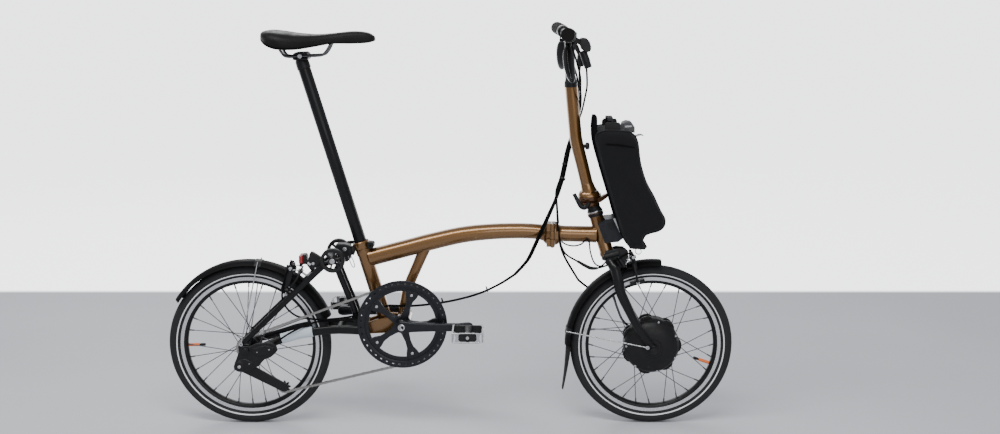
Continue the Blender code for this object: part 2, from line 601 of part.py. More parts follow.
def crankset():
    ring = lathe("ring", BB, [(0.0860, -0.0600), (0.1150, -0.0600), (0.1150, -0.0570),
                              (0.0990, -0.0570), (0.0990, -0.0490), (0.0860, -0.0490)], 40)
    hub = lathe("hub", BB, [(0.0086, -0.0600), (0.0230, -0.0600), (0.0230, -0.0480),
                            (0.0086, -0.0480)], 20)
    arms = []
    for k in range(5):
        a = 72.0 * k
        e = polar(Vector(), 1.0, a)
        n = polar(Vector(), 1.0, a + 90)
        lowp, highp = 0.0180, 0.0900
        outline = [BB + e * lowp + n * 0.0100, BB + e * lowp - n * 0.0100,
                   BB + e * highp - n * 0.0070, BB + e * highp + n * 0.0070]
        arms.append(prism("arm", [(p.x, p.z) for p in outline], -0.0590, -0.0510))
    unite("chainring", [ring, hub] + arms)

    def crank(name, s, direction):
        x1 = BB.x + direction * CRANK_LEN
        y0, y1 = 0.0780, 0.0920
        outline = []
        for a in range(90, 271, 30):
            outline.append((BB.x + direction * 0.0165 * math.cos(math.radians(a)),
                            BB.z + 0.0165 * math.sin(math.radians(a))))
        for a in range(-90, 91, 30):
            outline.append((x1 + direction * 0.0125 * math.cos(math.radians(a)),
                            BB.z + 0.0125 * math.sin(math.radians(a))))
        return prism(name, outline, s * y0, s * y1), at(x1, 0, BB.z)

    bar, eye = crank("right_crank", -1, 1)
    boss = cylinder("boss", on_y(BB, -0.0605), on_y(BB, -0.0850), 0.0165, 20)
    stub = cylinder("stub", on_y(eye, -0.0850), on_y(eye, -0.1900), 0.0045, 12)
    bar = unite("right_crank", [bar, boss, stub])
    cut(bar, [cylinder("c", on_y(BB, -0.0500), on_y(BB, -0.0885), 0.0082, 20)])
    bar, eye = crank("left_crank", 1, -1)
    boss = cylinder("boss", on_y(BB, 0.0350), on_y(BB, 0.0850), 0.0150, 20)
    spindle = cylinder("spindle", on_y(BB, 0.0600), on_y(BB, -0.0880), 0.0078, 20)
    stub = cylinder("stub", on_y(eye, 0.0850), on_y(eye, 0.1000), 0.0060, 12)
    unite("left_crank", [bar, boss, spindle, stub])


def pedals():
    right = at(BB.x + CRANK_LEN, 0, BB.z)
    left = at(BB.x - CRANK_LEN, 0, BB.z)

    def cage(name, c, y0, y1):
        lo, hi = min(y0, y1), max(y0, y1)
        body = box(name, (c.x - 0.0400, lo, c.z - 0.0130), (c.x + 0.0400, hi, c.z + 0.0130))
        for u in (-1, 1):
            window = box("w", (c.x + u * 0.0220 - 0.0140, lo + 0.0100, c.z - 0.03),
                         (c.x + u * 0.0220 + 0.0140, hi - 0.0100, c.z + 0.03))
            cut(body, [window])
        return body

    body = cage("right_pedal", right, -0.1000, -0.1930)
    cut(body, [cylinder("c", on_y(right, -0.0950), on_y(right, -0.1915), 0.0050, 12)])
    body.name = "right_pedal"

    # folding pedal: knuckle turns on the stub, the cage folds up on a fore-and-aft pin
    fork = [box("k", (left.x - 0.0110, 0.0930, left.z - 0.0110),
                (left.x + 0.0110, 0.1120, left.z + 0.0110)),
            box("e", (left.x - 0.0110, 0.1080, left.z - 0.0080),
                (left.x - 0.0065, 0.1250, left.z + 0.0080)),
            box("e", (left.x + 0.0065, 0.1080, left.z - 0.0080),
                (left.x + 0.0110, 0.1250, left.z + 0.0080)),
            cylinder("pin", at(left.x - 0.0090, 0.1195, left.z), at(left.x + 0.0090, 0.1195, left.z),
                     0.0025, 10)]
    fork = unite("left_pedal_hinge", fork)
    cut(fork, [cylinder("c", on_y(left, 0.0800), on_y(left, 0.1005), 0.0064, 12)])
    body = cage("left_pedal", left, 0.1325, 0.1980)
    tongue = box("t", (left.x - 0.0060, 0.1145, left.z - 0.0050), (left.x + 0.0060, 0.1380, left.z + 0.0050))
    body = unite("left_pedal", [body, tongue])
    cut(body, [cylinder("c", at(left.x - 0.02, 0.1195, left.z), at(left.x + 0.02, 0.1195, left.z),
                        0.0030, 12)])


# ---- front frame, fork and handlepost --------------------------------------
def head_axis(s):
    return HEAD_TOP + HEAD_DOWN * s


def front_frame():
    front_tube()
    lathe("head_tube", HEAD_TOP, [(0.0132, 0.0), (0.0176, 0.0), (0.0176, HEAD_LEN),
                                  (0.0132, HEAD_LEN)], 24, HEAD_DOWN)
    block = prism("carrier_block", [(0.3777, 0.5337), (0.3960, 0.5460), (0.4244, 0.5490),
                                    (0.4413, 0.4965), (0.4300, 0.4880), (0.3960, 0.4850)],
                  -0.0340, 0.0340)
    cut(block, [cylinder("c1", head_axis(-0.03), head_axis(0.15), 0.0180, 24),
                cylinder("c2", at(0.30, 0, 0.5035), at(0.3790, 0, 0.5018), 0.0218, 16)])

    # battery bag with its stiff back plate, and the strap over its top
    outline = [(0.3640, 0.7520), (0.3680, 0.7690), (0.3850, 0.7780), (0.4200, 0.7800),
               (0.4520, 0.7780), (0.4640, 0.7680), (0.4726, 0.7487), (0.4815, 0.6970),
               (0.5024, 0.6449), (0.5235, 0.5905), (0.5461, 0.5570), (0.5445, 0.5399),
               (0.5249, 0.5236), (0.4970, 0.5150), (0.4880, 0.4980), (0.4890, 0.4790),
               (0.4600, 0.4770), (0.4376, 0.5136), (0.4002, 0.6334), (0.3783, 0.7040)]
    cx = sum(x for x, z in outline) / len(outline)
    cz = sum(z for x, z in outline) / len(outline)
    rings = []
    for y, k in ((-0.0800, 0.90), (-0.0740, 0.975), (-0.0600, 1.0), (0.0600, 1.0),
                 (0.0740, 0.975), (0.0800, 0.90)):
        rings.append([Vector((cx + (x - cx) * k, y, cz + (z - cz) * k)) for x, z in outline])
    bag = loft("battery_bag", rings)
    plate = box("plate", (0.3615, -0.0560, 0.7480), (0.3760, 0.0560, 0.8100))
    unite("battery_bag", [bag, plate])
    handle = [(0.4080, -0.0450, 0.7832), (0.4090, -0.0420, 0.7960), (0.4090, -0.0250, 0.8040),
              (0.4090, 0.0250, 0.8040), (0.4090, 0.0420, 0.7960), (0.4080, 0.0450, 0.7832)]
    tube("bag_handle", handle, 0.0022, 8, flat=1.0)


BLADE = [(0.4140, 0.0330, 0.4320), (0.4231, 0.0440, 0.4189), (0.4355, 0.0520, 0.3653),
         (0.4580, 0.0555, 0.3149), (0.4729, 0.0570, 0.2851), (0.5002, 0.0585, 0.2428),
         (0.5200, 0.0590, 0.2160)]


def fork():
    crown = head_axis(HEAD_LEN + 0.0125)
    pieces = [cylinder("crown", on_y(crown, -0.0380), on_y(crown, 0.0380), 0.0115, 14)]
    pieces.append(cylinder("steerer", crown, head_axis(-0.0100), 0.0127, 20))
    pieces.append(cylinder("race", head_axis(HEAD_LEN + 0.0006), head_axis(HEAD_LEN + 0.0100),
                           0.0170, 20))
    for s in (-1, 1):
        pieces.append(tube("blade", [(x, s * y, z) for x, y, z in BLADE],
                           [0.0130, 0.0130, 0.0125, 0.0115, 0.0105, 0.0095, 0.0085], 12))
        pieces.append(cylinder("drop", on_y(FRONT, s * 0.0515), on_y(FRONT, s * 0.0670), 0.0120, 14))
    # clamped socket above the head tube, with the lower half of the handlepost hinge
    pieces.append(cylinder("socket", head_axis(-0.0006), head_axis(-0.0330), 0.0172, 20))
    pieces.append(post_plate("flange", 0.5860, 0.5996))
    low = POST_HINGE
    pieces.append(cylinder("k1", at(0.3330, low.y, low.z), at(0.3480, low.y, low.z), 0.0055, 12))
    pieces.append(cylinder("k2", at(0.3730, low.y, low.z), at(0.3880, low.y, low.z), 0.0055, 12))
    centre, out = brake_bolt(FRONT, FRONT_BRAKE_ANGLE, -1)
    pieces.append(cylinder("bolt", centre - out * 0.0580, centre + out * 0.0075, 0.0028, 10))
    pieces.append(box("lug", (0.3400, -0.0290, 0.5880), (0.3530, -0.0200, 0.5990)))
    body = unite("fork", pieces)
    cut(body, [cylinder("c1", at(0.3476, low.y, low.z), at(0.3734, low.y, low.z), 0.0064, 12),
               cylinder("c2", on_y(FRONT, -0.08), on_y(FRONT, 0.08), 0.0053, 12)])
    pin = cylinder("pin", at(0.3440, low.y, low.z), at(0.3770, low.y, low.z), 0.0022, 10)
    unite("fork", [body, pin])

    nuts = [cylinder("front_axle", on_y(FRONT, -0.0760), on_y(FRONT, 0.0760), AXLE_R, 12)]
    for s in (-1, 1):
        nuts.append(cylinder("nut", on_y(FRONT, s * 0.0675), on_y(FRONT, s * 0.0740), 0.0095, 6))
    unite("front_axle", nuts)
    mudguard("front_mudguard", FRONT, 82, 180, [(0.3045, 0.0275, 0.2500), (0.5060, 0.0715, 0.2200)])
    flap = []
    for z, x, w, t in ((0.2090, 0.2995, 0.0270, 0.0015), (0.1500, 0.2975, 0.0250, 0.0012),
                       (0.0880, 0.2910, 0.0170, 0.0010)):
        flap.append([Vector((x - t, -w, z)), Vector((x + t, -w, z)), Vector((x + t, w, z)),
                     Vector((x - t, w, z))])
    loft("mud_flap", flap)


def post_plate(name, z0, z1):
    """Oval flange of the handlepost hinge, wider towards the pin."""
    outline = [(0.3300, -0.0120), (0.3380, -0.0210), (0.3540, -0.0240), (0.3700, -0.0210),
               (0.3800, -0.0110), (0.3860, 0.0080), (0.3860, 0.0270), (0.3350, 0.0270),
               (0.3300, 0.0080)]
    return loft(name, [[Vector((x, y, z)) for x, y in outline] for z in (z0, z1)])


POST_PATH = [(0.3580, 0, 0.6080), (0.3500, 0, 0.6350), (0.3412, 0, 0.6700), (0.3270, 0, 0.7250),
             (0.3185, 0, 0.7750), (0.3150, 0, 0.8100), (0.3108, 0, 0.8527), (0.3074, 0, 0.8900)]
BAR_MID = Vector((0.3018, 0, 1.0069))
BAR_PATH = [(0.2835, -0.2830, 1.0195), (0.2900, -0.2100, 1.0165), (0.2960, -0.1300, 1.0120),
            (0.3018, -0.0400, 1.0069), (0.3018, 0.0400, 1.0069), (0.2960, 0.1300, 1.0120),
            (0.2900, 0.2100, 1.0165), (0.2835, 0.2830, 1.0195)]
BAR_R = [0.0110, 0.0110, 0.0112, 0.0127, 0.0127, 0.0112, 0.0110, 0.0110]
LEVER_PIVOT = Vector((0.2900, 0.1480, 0.9920))


def handlepost():
    low = POST_HINGE
    post = tube("post", POST_PATH, 0.0160, 20)
    flange = post_plate("flange", 0.6004, 0.6140)
    k = cylinder("k", at(0.3482, low.y, low.z), at(0.3728, low.y, low.z), 0.0055, 12)
    post = unite("handlepost", [post, flange, k])
    cut(post, [cylinder("c1", at(0.3250, low.y, low.z), at(0.3484, low.y, low.z), 0.0064, 12),
               cylinder("c2", at(0.3726, low.y, low.z), at(0.3960, low.y, low.z), 0.0064, 12),
               cylinder("c3", at(0.3400, low.y, low.z), at(0.3800, low.y, low.z), 0.0028, 12)])
    knob = [tube("k1", [(0.3385, 0, 0.7290), (0.3520, 0, 0.7300)], 0.0022, 8),
            cylinder("k2", at(0.3455, 0, 0.7298), at(0.3565, 0, 0.7302), 0.0092, 14)]
    unite("handlepost", [post] + knob)
    stem = [tube("stem", [(0.3073, 0, 0.8905), (0.3054, 0, 0.9127), (0.3029, 0, 0.9724),
                          (0.3018, 0, 1.0069)], [0.0140, 0.0120, 0.0120, 0.0120], 16),
            cylinder("clamp", BAR_MID + at(0, -0.0220, 0), BAR_MID + at(0, 0.0220, 0), 0.0170, 18)]
    stem = unite("bar_stem", stem)
    cut(stem, [tube("c", BAR_PATH, [r + GAP for r in BAR_R], 16)])

    bar = [tube("handlebar", BAR_PATH, BAR_R, 16)]
    for s in (-1, 1):
        mid = Vector((0.2950, s * 0.1440, 1.0128))
        bar.append(cylinder("perch", mid - at(0, 0.0080, 0), mid + at(0, 0.0080, 0), 0.0155, 14))
        bar.append(box("lug", (0.2850, s * 0.1470 - 0.0060, 0.9880),
                       (0.2965, s * 0.1470 + 0.0060, 1.0020)))
    bar = unite("handlebar", bar)
    cut(bar, [box("c", (0.2875, s * 0.1470 - 0.0125, 0.9800), (0.2935, s * 0.1470 + 0.0125, 0.9975))
              for s in (-1, 1)])
    pins = [cylinder("pin", at(0.2862, s * 0.1480, 0.9920), at(0.2950, s * 0.1480, 0.9920), 0.0018, 8)
            for s in (-1, 1)]
    unite("handlebar", [bar] + pins)

    for s, side in ((-1, "right"), (1, "left")):
        inner = [Vector((0.2943, s * 0.1600, 1.0138)), Vector((0.2900, s * 0.2100, 1.0165)),
                 Vector((0.2833, s * 0.2860, 1.0196))]
        grip = tube("grip", [inner[0], inner[1], inner[2]], 0.0165, 20)
        bore = tube("c", [Vector(p) for p in BAR_PATH], [r + 0.0003 for r in BAR_R], 16)
        grip.name = side + "_grip"
        cut(grip, [bore])
        trim = box("t", (0.25, s * 0.2852 - (0.02 if s < 0 else 0), 0.98),
                   (0.32, s * 0.2852 + (0.02 if s > 0 else 0), 1.06))
        cut(grip, [trim])

        blade = tube("blade", [(0.2905, s * 0.1440, 0.9925), (0.2900, s * 0.1560, 0.9860),
                               (0.2850, s * 0.1780, 0.9640), (0.2810, s * 0.2150, 0.9380),
                               (0.2785, s * 0.2500, 0.9210)],
                     [0.0055, 0.0065, 0.0060, 0.0055, 0.0045], 8)
        blade.name = side + "_brake_lever"
        slot = [box("c1", (0.2700, s * 0.1510 - 0.0110, 0.9700), (0.2878, s * 0.1510 + 0.0110, 1.01)),
                box("c2", (0.2932, s * 0.1510 - 0.0110, 0.9700), (0.3200, s * 0.1510 + 0.0110, 1.01))]
        cut(blade, slot)
        cut(blade, [cylinder("c3", at(0.2700, s * 0.1480, 0.9920), at(0.3100, s * 0.1480, 0.9920),
                             0.0022, 10)])

    box_parts = [box("display", (0.3160, -0.1180, 0.9780), (0.3440, -0.0740, 1.0120)),
                 cylinder("barrel", at(0.3270, -0.1000, 0.9800), at(0.3390, -0.1000, 0.9400), 0.0085, 14)]
    clamp = cylinder("clamp", at(0.2985, -0.1080, 1.0102), at(0.3000, -0.0880, 1.0090), 0.0160, 14)
    arm = box("arm", (0.3000, -0.1030, 1.0000), (0.3200, -0.0930, 1.0100))
    display = unite("display", [box_parts[0], box_parts[1], clamp, arm])
    cut(display, [tube("c", BAR_PATH, [r + GAP for r in BAR_R], 16)])

    tube("handlepost_lever", [(0.3550, -0.0330, 0.5900), (0.3450, -0.0335, 0.5780),
                              (0.3340, -0.0332, 0.5810), (0.3250, -0.0322, 0.5960),
                              (0.3160, -0.0305, 0.6125)],
         [0.0055, 0.0065, 0.0062, 0.0058, 0.0050], 8, flat=0.6)


def cables():
    tie = (0.2862, 0.0040, 0.6450)
    loom = tube("cables", [(0.2950, 0.0170, 0.6900), tie, (0.2640, -0.0160, 0.5850),
                           (0.2360, -0.0330, 0.5260), (0.2160, -0.0340, 0.4800),
                           (0.2040, -0.0320, 0.4560), (0.1800, -0.0300, 0.4130), (0.1250, -0.0280, 0.3760),
                           (0.0770, -0.0260, 0.3515), (0.0200, -0.0260, 0.3340),
                           (-0.0400, -0.0260, 0.3230), (-0.1000, -0.0260, 0.3160),
                           (-0.1600, -0.0270, 0.3180), (-0.2050, -0.0300, 0.3320),
                           (-0.2400, -0.0345, 0.3600), (-0.2620, -0.0345, 0.3900)], 0.0036, 8)
    first = tube("a", [(0.3130, -0.1280, 0.9850), (0.3300, -0.1250, 0.9250), (0.3310, -0.0700, 0.8950),
                       (0.3330, -0.0100, 0.8750), (0.3320, 0.0160, 0.8500), (0.3230, 0.0240, 0.8150),
                       (0.3110, 0.0250, 0.7500), (0.2950, 0.0170, 0.6900)], 0.0026, 8)
    second = tube("b", [tie, (0.2775, -0.0080, 0.6050), (0.2720, -0.0340, 0.5600),
                        (0.2740, -0.0490, 0.5200), (0.2850, -0.0480, 0.4800),
                        (0.3100, -0.0400, 0.4520), (0.3500, -0.0300, 0.4400),
                        (0.3800, -0.0330, 0.4180), (0.3880, -0.0370, 0.3900)], 0.0026, 8)
    unite("cables", [loom, first, second])


def main():
    clear_scene()
    main_frame()
    seat()
    rear_frame()
    rear_wheel()
    front_wheel()
    caliper("rear", REAR, REAR_BRAKE_ANGLE, 1)
    caliper("front", FRONT, FRONT_BRAKE_ANGLE, -1)
    chain()
    crankset()
    pedals()
    front_frame()
    fork()
    handlepost()
    cables()


main()
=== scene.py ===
import math
import bpy
import bmesh
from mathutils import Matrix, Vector, noise


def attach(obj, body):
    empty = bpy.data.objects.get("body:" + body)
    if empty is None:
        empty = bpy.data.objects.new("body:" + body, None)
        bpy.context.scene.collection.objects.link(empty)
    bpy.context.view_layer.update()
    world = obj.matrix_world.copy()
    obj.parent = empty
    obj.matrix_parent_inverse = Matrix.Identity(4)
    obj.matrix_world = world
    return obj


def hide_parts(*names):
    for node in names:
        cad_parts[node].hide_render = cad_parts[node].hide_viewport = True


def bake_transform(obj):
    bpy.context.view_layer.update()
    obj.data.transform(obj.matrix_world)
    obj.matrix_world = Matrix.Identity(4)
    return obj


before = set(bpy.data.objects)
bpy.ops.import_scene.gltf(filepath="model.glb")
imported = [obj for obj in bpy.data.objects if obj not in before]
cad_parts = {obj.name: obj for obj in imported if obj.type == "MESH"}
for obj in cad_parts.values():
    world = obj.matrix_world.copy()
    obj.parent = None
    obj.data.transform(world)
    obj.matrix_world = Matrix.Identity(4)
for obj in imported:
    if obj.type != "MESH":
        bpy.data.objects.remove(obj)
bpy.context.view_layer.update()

V = Vector
SIDES = (-1, 1)  # right side, left side
REAR, FRONT = V((-0.5225, 0, 0.2108)), V((0.5225, 0, 0.2108))
BB, PIVOT = V((-0.1215, 0, 0.278)), V((-0.22, 0, 0.257))
SEAT_TOP, SEAT_UP = V((-0.2305, 0, 0.4826)), V((-0.3, 0, 1.0)).normalized()
HEAD_TOP, HEAD_DOWN = V((0.3723, 0, 0.56)), V((0.3015, 0, -1.0)).normalized()
KNUCKLE, PULLEY = V((-0.5399, 0, 0.1694)), V((-0.4291, 0, 0.1091))
HINGE_X, HINGE_PIN_Y, HINGE_Z = 0.262, -0.0365, 0.506
BRAKE_BOLT_R, REAR_BRAKE_DEG, FRONT_BRAKE_DEG = 0.236, 54.5, 103.0
GUARD_R, GUARD_HALF_WIDTH, GUARD_DROP = 0.2246, 0.0265, 0.0115
CABLE_R, MOTOR_LEAD_R, LAMP_WIRE_R = 0.0024, 0.003, 0.002
AXLE_R, SPOKE_R, SPOKE_COUNT = 0.0049, 0.0011, 28
CHAIN_PITCH, LINK_R, ROLLER_R, LINK_HALF_THICK = 0.0127, 0.0042, 0.0022, 0.0005
RING_R, SPROCKET_R, PULLEY_R = 0.1051, 0.0263, 0.015
CRANK_LENGTH = 0.17
BAG_HALF_WIDTH, BAG_STEPS = 0.08, 30


# ---------------------------------------------------------------- materials
def node(nt, kind, **values):
    """Adds a shader node and sets inputs by name, from_min for From Min."""
    added = nt.nodes.new("ShaderNode" + kind)
    for key, value in values.items():
        added.inputs[key.replace("_", " ").title()].default_value = value
    return added


def mixed(nt, factor, first, second):
    """Mixes two colours by a factor. A colour is three numbers or a socket."""
    mix = node(nt, "Mix")
    mix.data_type = "RGBA"
    nt.links.new(factor, mix.inputs[0])
    for socket, colour in ((mix.inputs[6], first), (mix.inputs[7], second)):
        if isinstance(colour, bpy.types.NodeSocket):
            nt.links.new(colour, socket)
        else:
            socket.default_value = [*colour, 1]
    return mix.outputs[2]


def bump_height(nt, place, kind, scale):
    """Height for a bump: woven threads, leather grain or plain noise."""
    link = nt.links.new
    if kind == "weave":
        top = node(nt, "Math")
        top.operation = "MAXIMUM"
        for k, direction in enumerate(("DIAGONAL", "Z")):
            thread = node(nt, "TexWave", scale=scale, distortion=1.2, detail=1)
            thread.bands_direction = direction
            link(place, thread.inputs["Vector"])
            link(thread.outputs["Fac"], top.inputs[k])
        return top.outputs[0]
    if kind == "grain":
        cells = node(nt, "TexVoronoi", scale=scale)
        link(place, cells.inputs["Vector"])
        return cells.outputs["Distance"]
    specks = node(nt, "TexNoise", scale=scale, detail=3)
    link(place, specks.inputs["Vector"])
    return specks.outputs["Fac"]


def material(name, base, rough, metal=0.0, coat=0.0, vary=0.25, vary_scale=60.0, bump=0.15,
        bump_scale=900.0, kind="noise", sheen=0.0, rough_vary=0.12, dist=0.0004, spec=0.5, coat_rough=0.08):
    """Surface whose colour and gloss vary slowly, with a fine bump on top."""
    m = bpy.data.materials.new(name)
    m.use_nodes = True
    nt = m.node_tree
    link, shader = nt.links.new, nt.nodes["Principled BSDF"]
    place = node(nt, "TexCoord").outputs["Object"]
    cloud = node(nt, "TexNoise", scale=vary_scale, detail=5)
    link(place, cloud.inputs["Vector"])
    darker, lighter = [c * (1 - vary) for c in base], [min(1, c * (1 + vary)) for c in base]
    link(mixed(nt, cloud.outputs["Fac"], darker, lighter), shader.inputs["Base Color"])
    gloss = node(nt, "MapRange", from_min=0.3, from_max=0.7, to_min=max(0.02, rough - rough_vary),
            to_max=min(1, rough + rough_vary))
    link(cloud.outputs["Fac"], gloss.inputs["Value"])
    link(gloss.outputs["Result"], shader.inputs["Roughness"])
    for key, value in (("Metallic", metal), ("Coat Weight", coat), ("Coat Roughness", coat_rough),
            ("Sheen Weight", sheen), ("Specular IOR Level", spec)):
        shader.inputs[key].default_value = value
    bp = node(nt, "Bump", strength=bump, distance=dist)
    link(bump_height(nt, place, kind, bump_scale), bp.inputs["Height"])
    link(bp.outputs["Normal"], shader.inputs["Normal"])
    return m


def tread_material(hub):
    """Tyre rubber with a tread cut by angle round the axle and by distance from the centre line."""
    m = material("tyre_rubber", (0.0185, 0.0185, 0.02), 0.76, vary=0.35, vary_scale=35, bump=0.25,
            bump_scale=500, spec=0.25)
    nt = m.node_tree
    n, link = nt.nodes, nt.links.new
    sep = node(nt, "SeparateXYZ")
    link(node(nt, "TexCoord").outputs["Object"], sep.inputs[0])

    def math_node(op, *values):
        k = node(nt, "Math")
        k.operation = op
        for i, x in enumerate(values):
            if isinstance(x, (int, float)):
                k.inputs[i].default_value = x
            else:
                link(x, k.inputs[i])
        return k.outputs[0]

    dx = math_node("SUBTRACT", sep.outputs["X"], hub.x)
    dz = math_node("SUBTRACT", sep.outputs["Z"], hub.z)
    ang = math_node("ARCTAN2", dz, dx)
    ay = math_node("ABSOLUTE", sep.outputs["Y"])
    slanted = math_node("ADD", math_node("MULTIPLY", ang, 90.0), math_node("MULTIPLY", ay, 620.0))
    blocks = math_node("GREATER_THAN", math_node("SINE", slanted), -0.35)
    ribs = math_node("GREATER_THAN", math_node("SINE", math_node("MULTIPLY", ay, 1250.0)), -0.75)
    cut = math_node("MULTIPLY", blocks, ribs)
    crown = math_node("LESS_THAN", ay, 0.0125)
    height = math_node("ADD", math_node("MULTIPLY", cut, crown), math_node("SUBTRACT", 1.0, crown))
    bp = node(nt, "Bump", strength=0.9, distance=0.0014)
    link(height, bp.inputs["Height"])
    old = [x for x in n if x.type == "BUMP" and x != bp][0]
    link(old.outputs["Normal"], bp.inputs["Normal"])
    link(bp.outputs["Normal"], n["Principled BSDF"].inputs["Normal"])
    return m


BRONZE = material("bronze_lacquer", (0.188, 0.092, 0.026), 0.29, metal=0.8, coat=0.8, vary=0.16,
        vary_scale=1400, bump=0.1, bump_scale=2600, rough_vary=0.05, dist=0.0001, coat_rough=0.06, spec=0.4)
# Darker copy of the bronze lacquer for the lower handlepost hinge: painted shade.
SHADED_BRONZE = material("bronze_painted_shade", (0.112, 0.05, 0.019), 0.34, metal=0.75, coat=0.6, vary=0.16,
        vary_scale=1400, bump=0.1, bump_scale=2600, rough_vary=0.05, dist=0.0001, coat_rough=0.08, spec=0.4)
BACKING = material("bag_backing", (0.007, 0.007, 0.0078), 0.9, vary=0.3, vary_scale=60, bump=0.2,
        bump_scale=900, dist=0.0002, spec=0.0)
SOCKET = material("socket_grey", (0.075, 0.075, 0.08), 0.55, vary=0.2, vary_scale=120, bump=0.15,
        bump_scale=1500, dist=0.0002, spec=0.3)
BLACK = material("black_lacquer", (0.0042, 0.0042, 0.0046), 0.36, coat=0.12, vary=0.3, vary_scale=25,
        bump=0.05, bump_scale=1500, rough_vary=0.08, dist=0.0001, spec=0.2)
SATIN = material("satin_black_metal", (0.0095, 0.0095, 0.0105), 0.42, metal=0.3, vary=0.35, vary_scale=70,
        bump=0.18, bump_scale=2200, dist=0.0002, spec=0.35)
CAST = material("cast_motor_black", (0.0075, 0.0075, 0.008), 0.42, metal=0.2, vary=0.4, vary_scale=160,
        bump=0.35, bump_scale=1700, dist=0.0003, spec=0.3)
PLASTIC = material("black_plastic", (0.0085, 0.0085, 0.009), 0.5, vary=0.3, vary_scale=90, bump=0.22,
        bump_scale=1600, dist=0.0002, spec=0.3)
GUARD = material("mudguard_black", (0.0042, 0.0042, 0.0046), 0.58, vary=0.25, vary_scale=18, bump=0.04,
        bump_scale=700, dist=0.0002, spec=0.1)
RUBBER = material("rubber", (0.01, 0.0092, 0.0088), 0.7, vary=0.3, vary_scale=120, bump=0.35,
        bump_scale=1300, dist=0.0003, spec=0.25)
GRIP = material("grip_rubber", (0.008, 0.0064, 0.006), 0.7, vary=0.35, vary_scale=90, bump=0.6,
        bump_scale=420, kind="grain", dist=0.0007, spec=0.08)
HOUSING = material("cable_housing", (0.004, 0.004, 0.0044), 0.55, vary=0.3, vary_scale=300, bump=0.1,
        bump_scale=2500, dist=0.0001, spec=0.05)
STEEL = material("zinc_steel", (0.5, 0.5, 0.51), 0.27, metal=1.0, vary=0.18, vary_scale=260, bump=0.06,
        bump_scale=2400, rough_vary=0.1, dist=0.0001)
SPOKE = material("spoke_steel", (0.105, 0.105, 0.11), 0.36, metal=1.0, vary=0.2, vary_scale=200, bump=0.06,
        bump_scale=2400, rough_vary=0.1, dist=0.0001)
CHAINM = material("chain_steel", (0.3, 0.29, 0.28), 0.33, metal=1.0, vary=0.35, vary_scale=420, bump=0.12,
        bump_scale=2400, rough_vary=0.14, dist=0.0001)
TRACK = material("brake_track", (0.62, 0.62, 0.63), 0.3, metal=1.0, vary=0.14, vary_scale=320, bump=0.2,
        bump_scale=3000, rough_vary=0.1, dist=0.0001)
RIM = material("rim_black", (0.0075, 0.0075, 0.008), 0.36, metal=0.3, vary=0.3, vary_scale=80, bump=0.08,
        bump_scale=1800, dist=0.0001, spec=0.35)
GREY = material("anodised_grey", (0.022, 0.023, 0.027), 0.34, metal=0.75, vary=0.22, vary_scale=110,
        bump=0.1, bump_scale=2600, rough_vary=0.08, dist=0.0001)
STRIPE = material("reflective_stripe", (0.8, 0.81, 0.82), 0.45, vary=0.08, vary_scale=900, bump=0.3,
        bump_scale=2500, dist=0.0001)
RED = material("red_lens", (0.26, 0.006, 0.007), 0.14, coat=1.0, vary=0.25, vary_scale=350, bump=0.5,
        bump_scale=330, kind="grain", dist=0.0006)
ORANGE = material("orange_sleeve", (0.78, 0.17, 0.03), 0.42, vary=0.15, vary_scale=400, bump=0.1,
        bump_scale=1500, dist=0.0001)
GLASS = material("display_glass", (0.01, 0.012, 0.014), 0.07, coat=1.0, vary=0.3, vary_scale=40, bump=0.02,
        bump_scale=400, rough_vary=0.03, dist=0.0001)
PALE = material("pale_sleeve", (0.55, 0.62, 0.68), 0.4, vary=0.1, vary_scale=200, bump=0.12,
        bump_scale=1800, dist=0.0001)
SADDLE = material("saddle_cover", (0.0085, 0.0078, 0.0076), 0.42, vary=0.3, vary_scale=60, bump=0.35,
        bump_scale=1500, kind="grain", sheen=0.03, dist=0.0003, spec=0.12)
FABRIC = material("bag_nylon", (0.0062, 0.0062, 0.0072), 0.82, vary=0.35, vary_scale=26, bump=0.8,
        bump_scale=230, kind="weave", sheen=0.07, rough_vary=0.08, dist=0.0006, spec=0.2)
WEBBING = material("webbing", (0.0105, 0.0105, 0.0115), 0.76, vary=0.3, vary_scale=80, bump=0.9,
        bump_scale=150, kind="weave", sheen=0.06, dist=0.0007, spec=0.25)


# ---------------------------------------------------------------- mesh tools
def make(name, verts, faces, sharp=38):
    bm = bmesh.new()
    vs = [bm.verts.new(v) for v in verts]
    for f in faces:
        bm.faces.new([vs[i] for i in f])
    bmesh.ops.recalc_face_normals(bm, faces=bm.faces)
    mesh = bpy.data.meshes.new(name)
    bm.to_mesh(mesh)
    bm.free()
    return finish_mesh(name, mesh, sharp)


def finish_mesh(name, mesh, sharp=38):
    mesh.polygons.foreach_set("use_smooth", [True] * len(mesh.polygons))
    mesh.set_sharp_from_angle(angle=math.radians(sharp))
    obj = bpy.data.objects.new(name, mesh)
    bpy.context.scene.collection.objects.link(obj)
    return obj


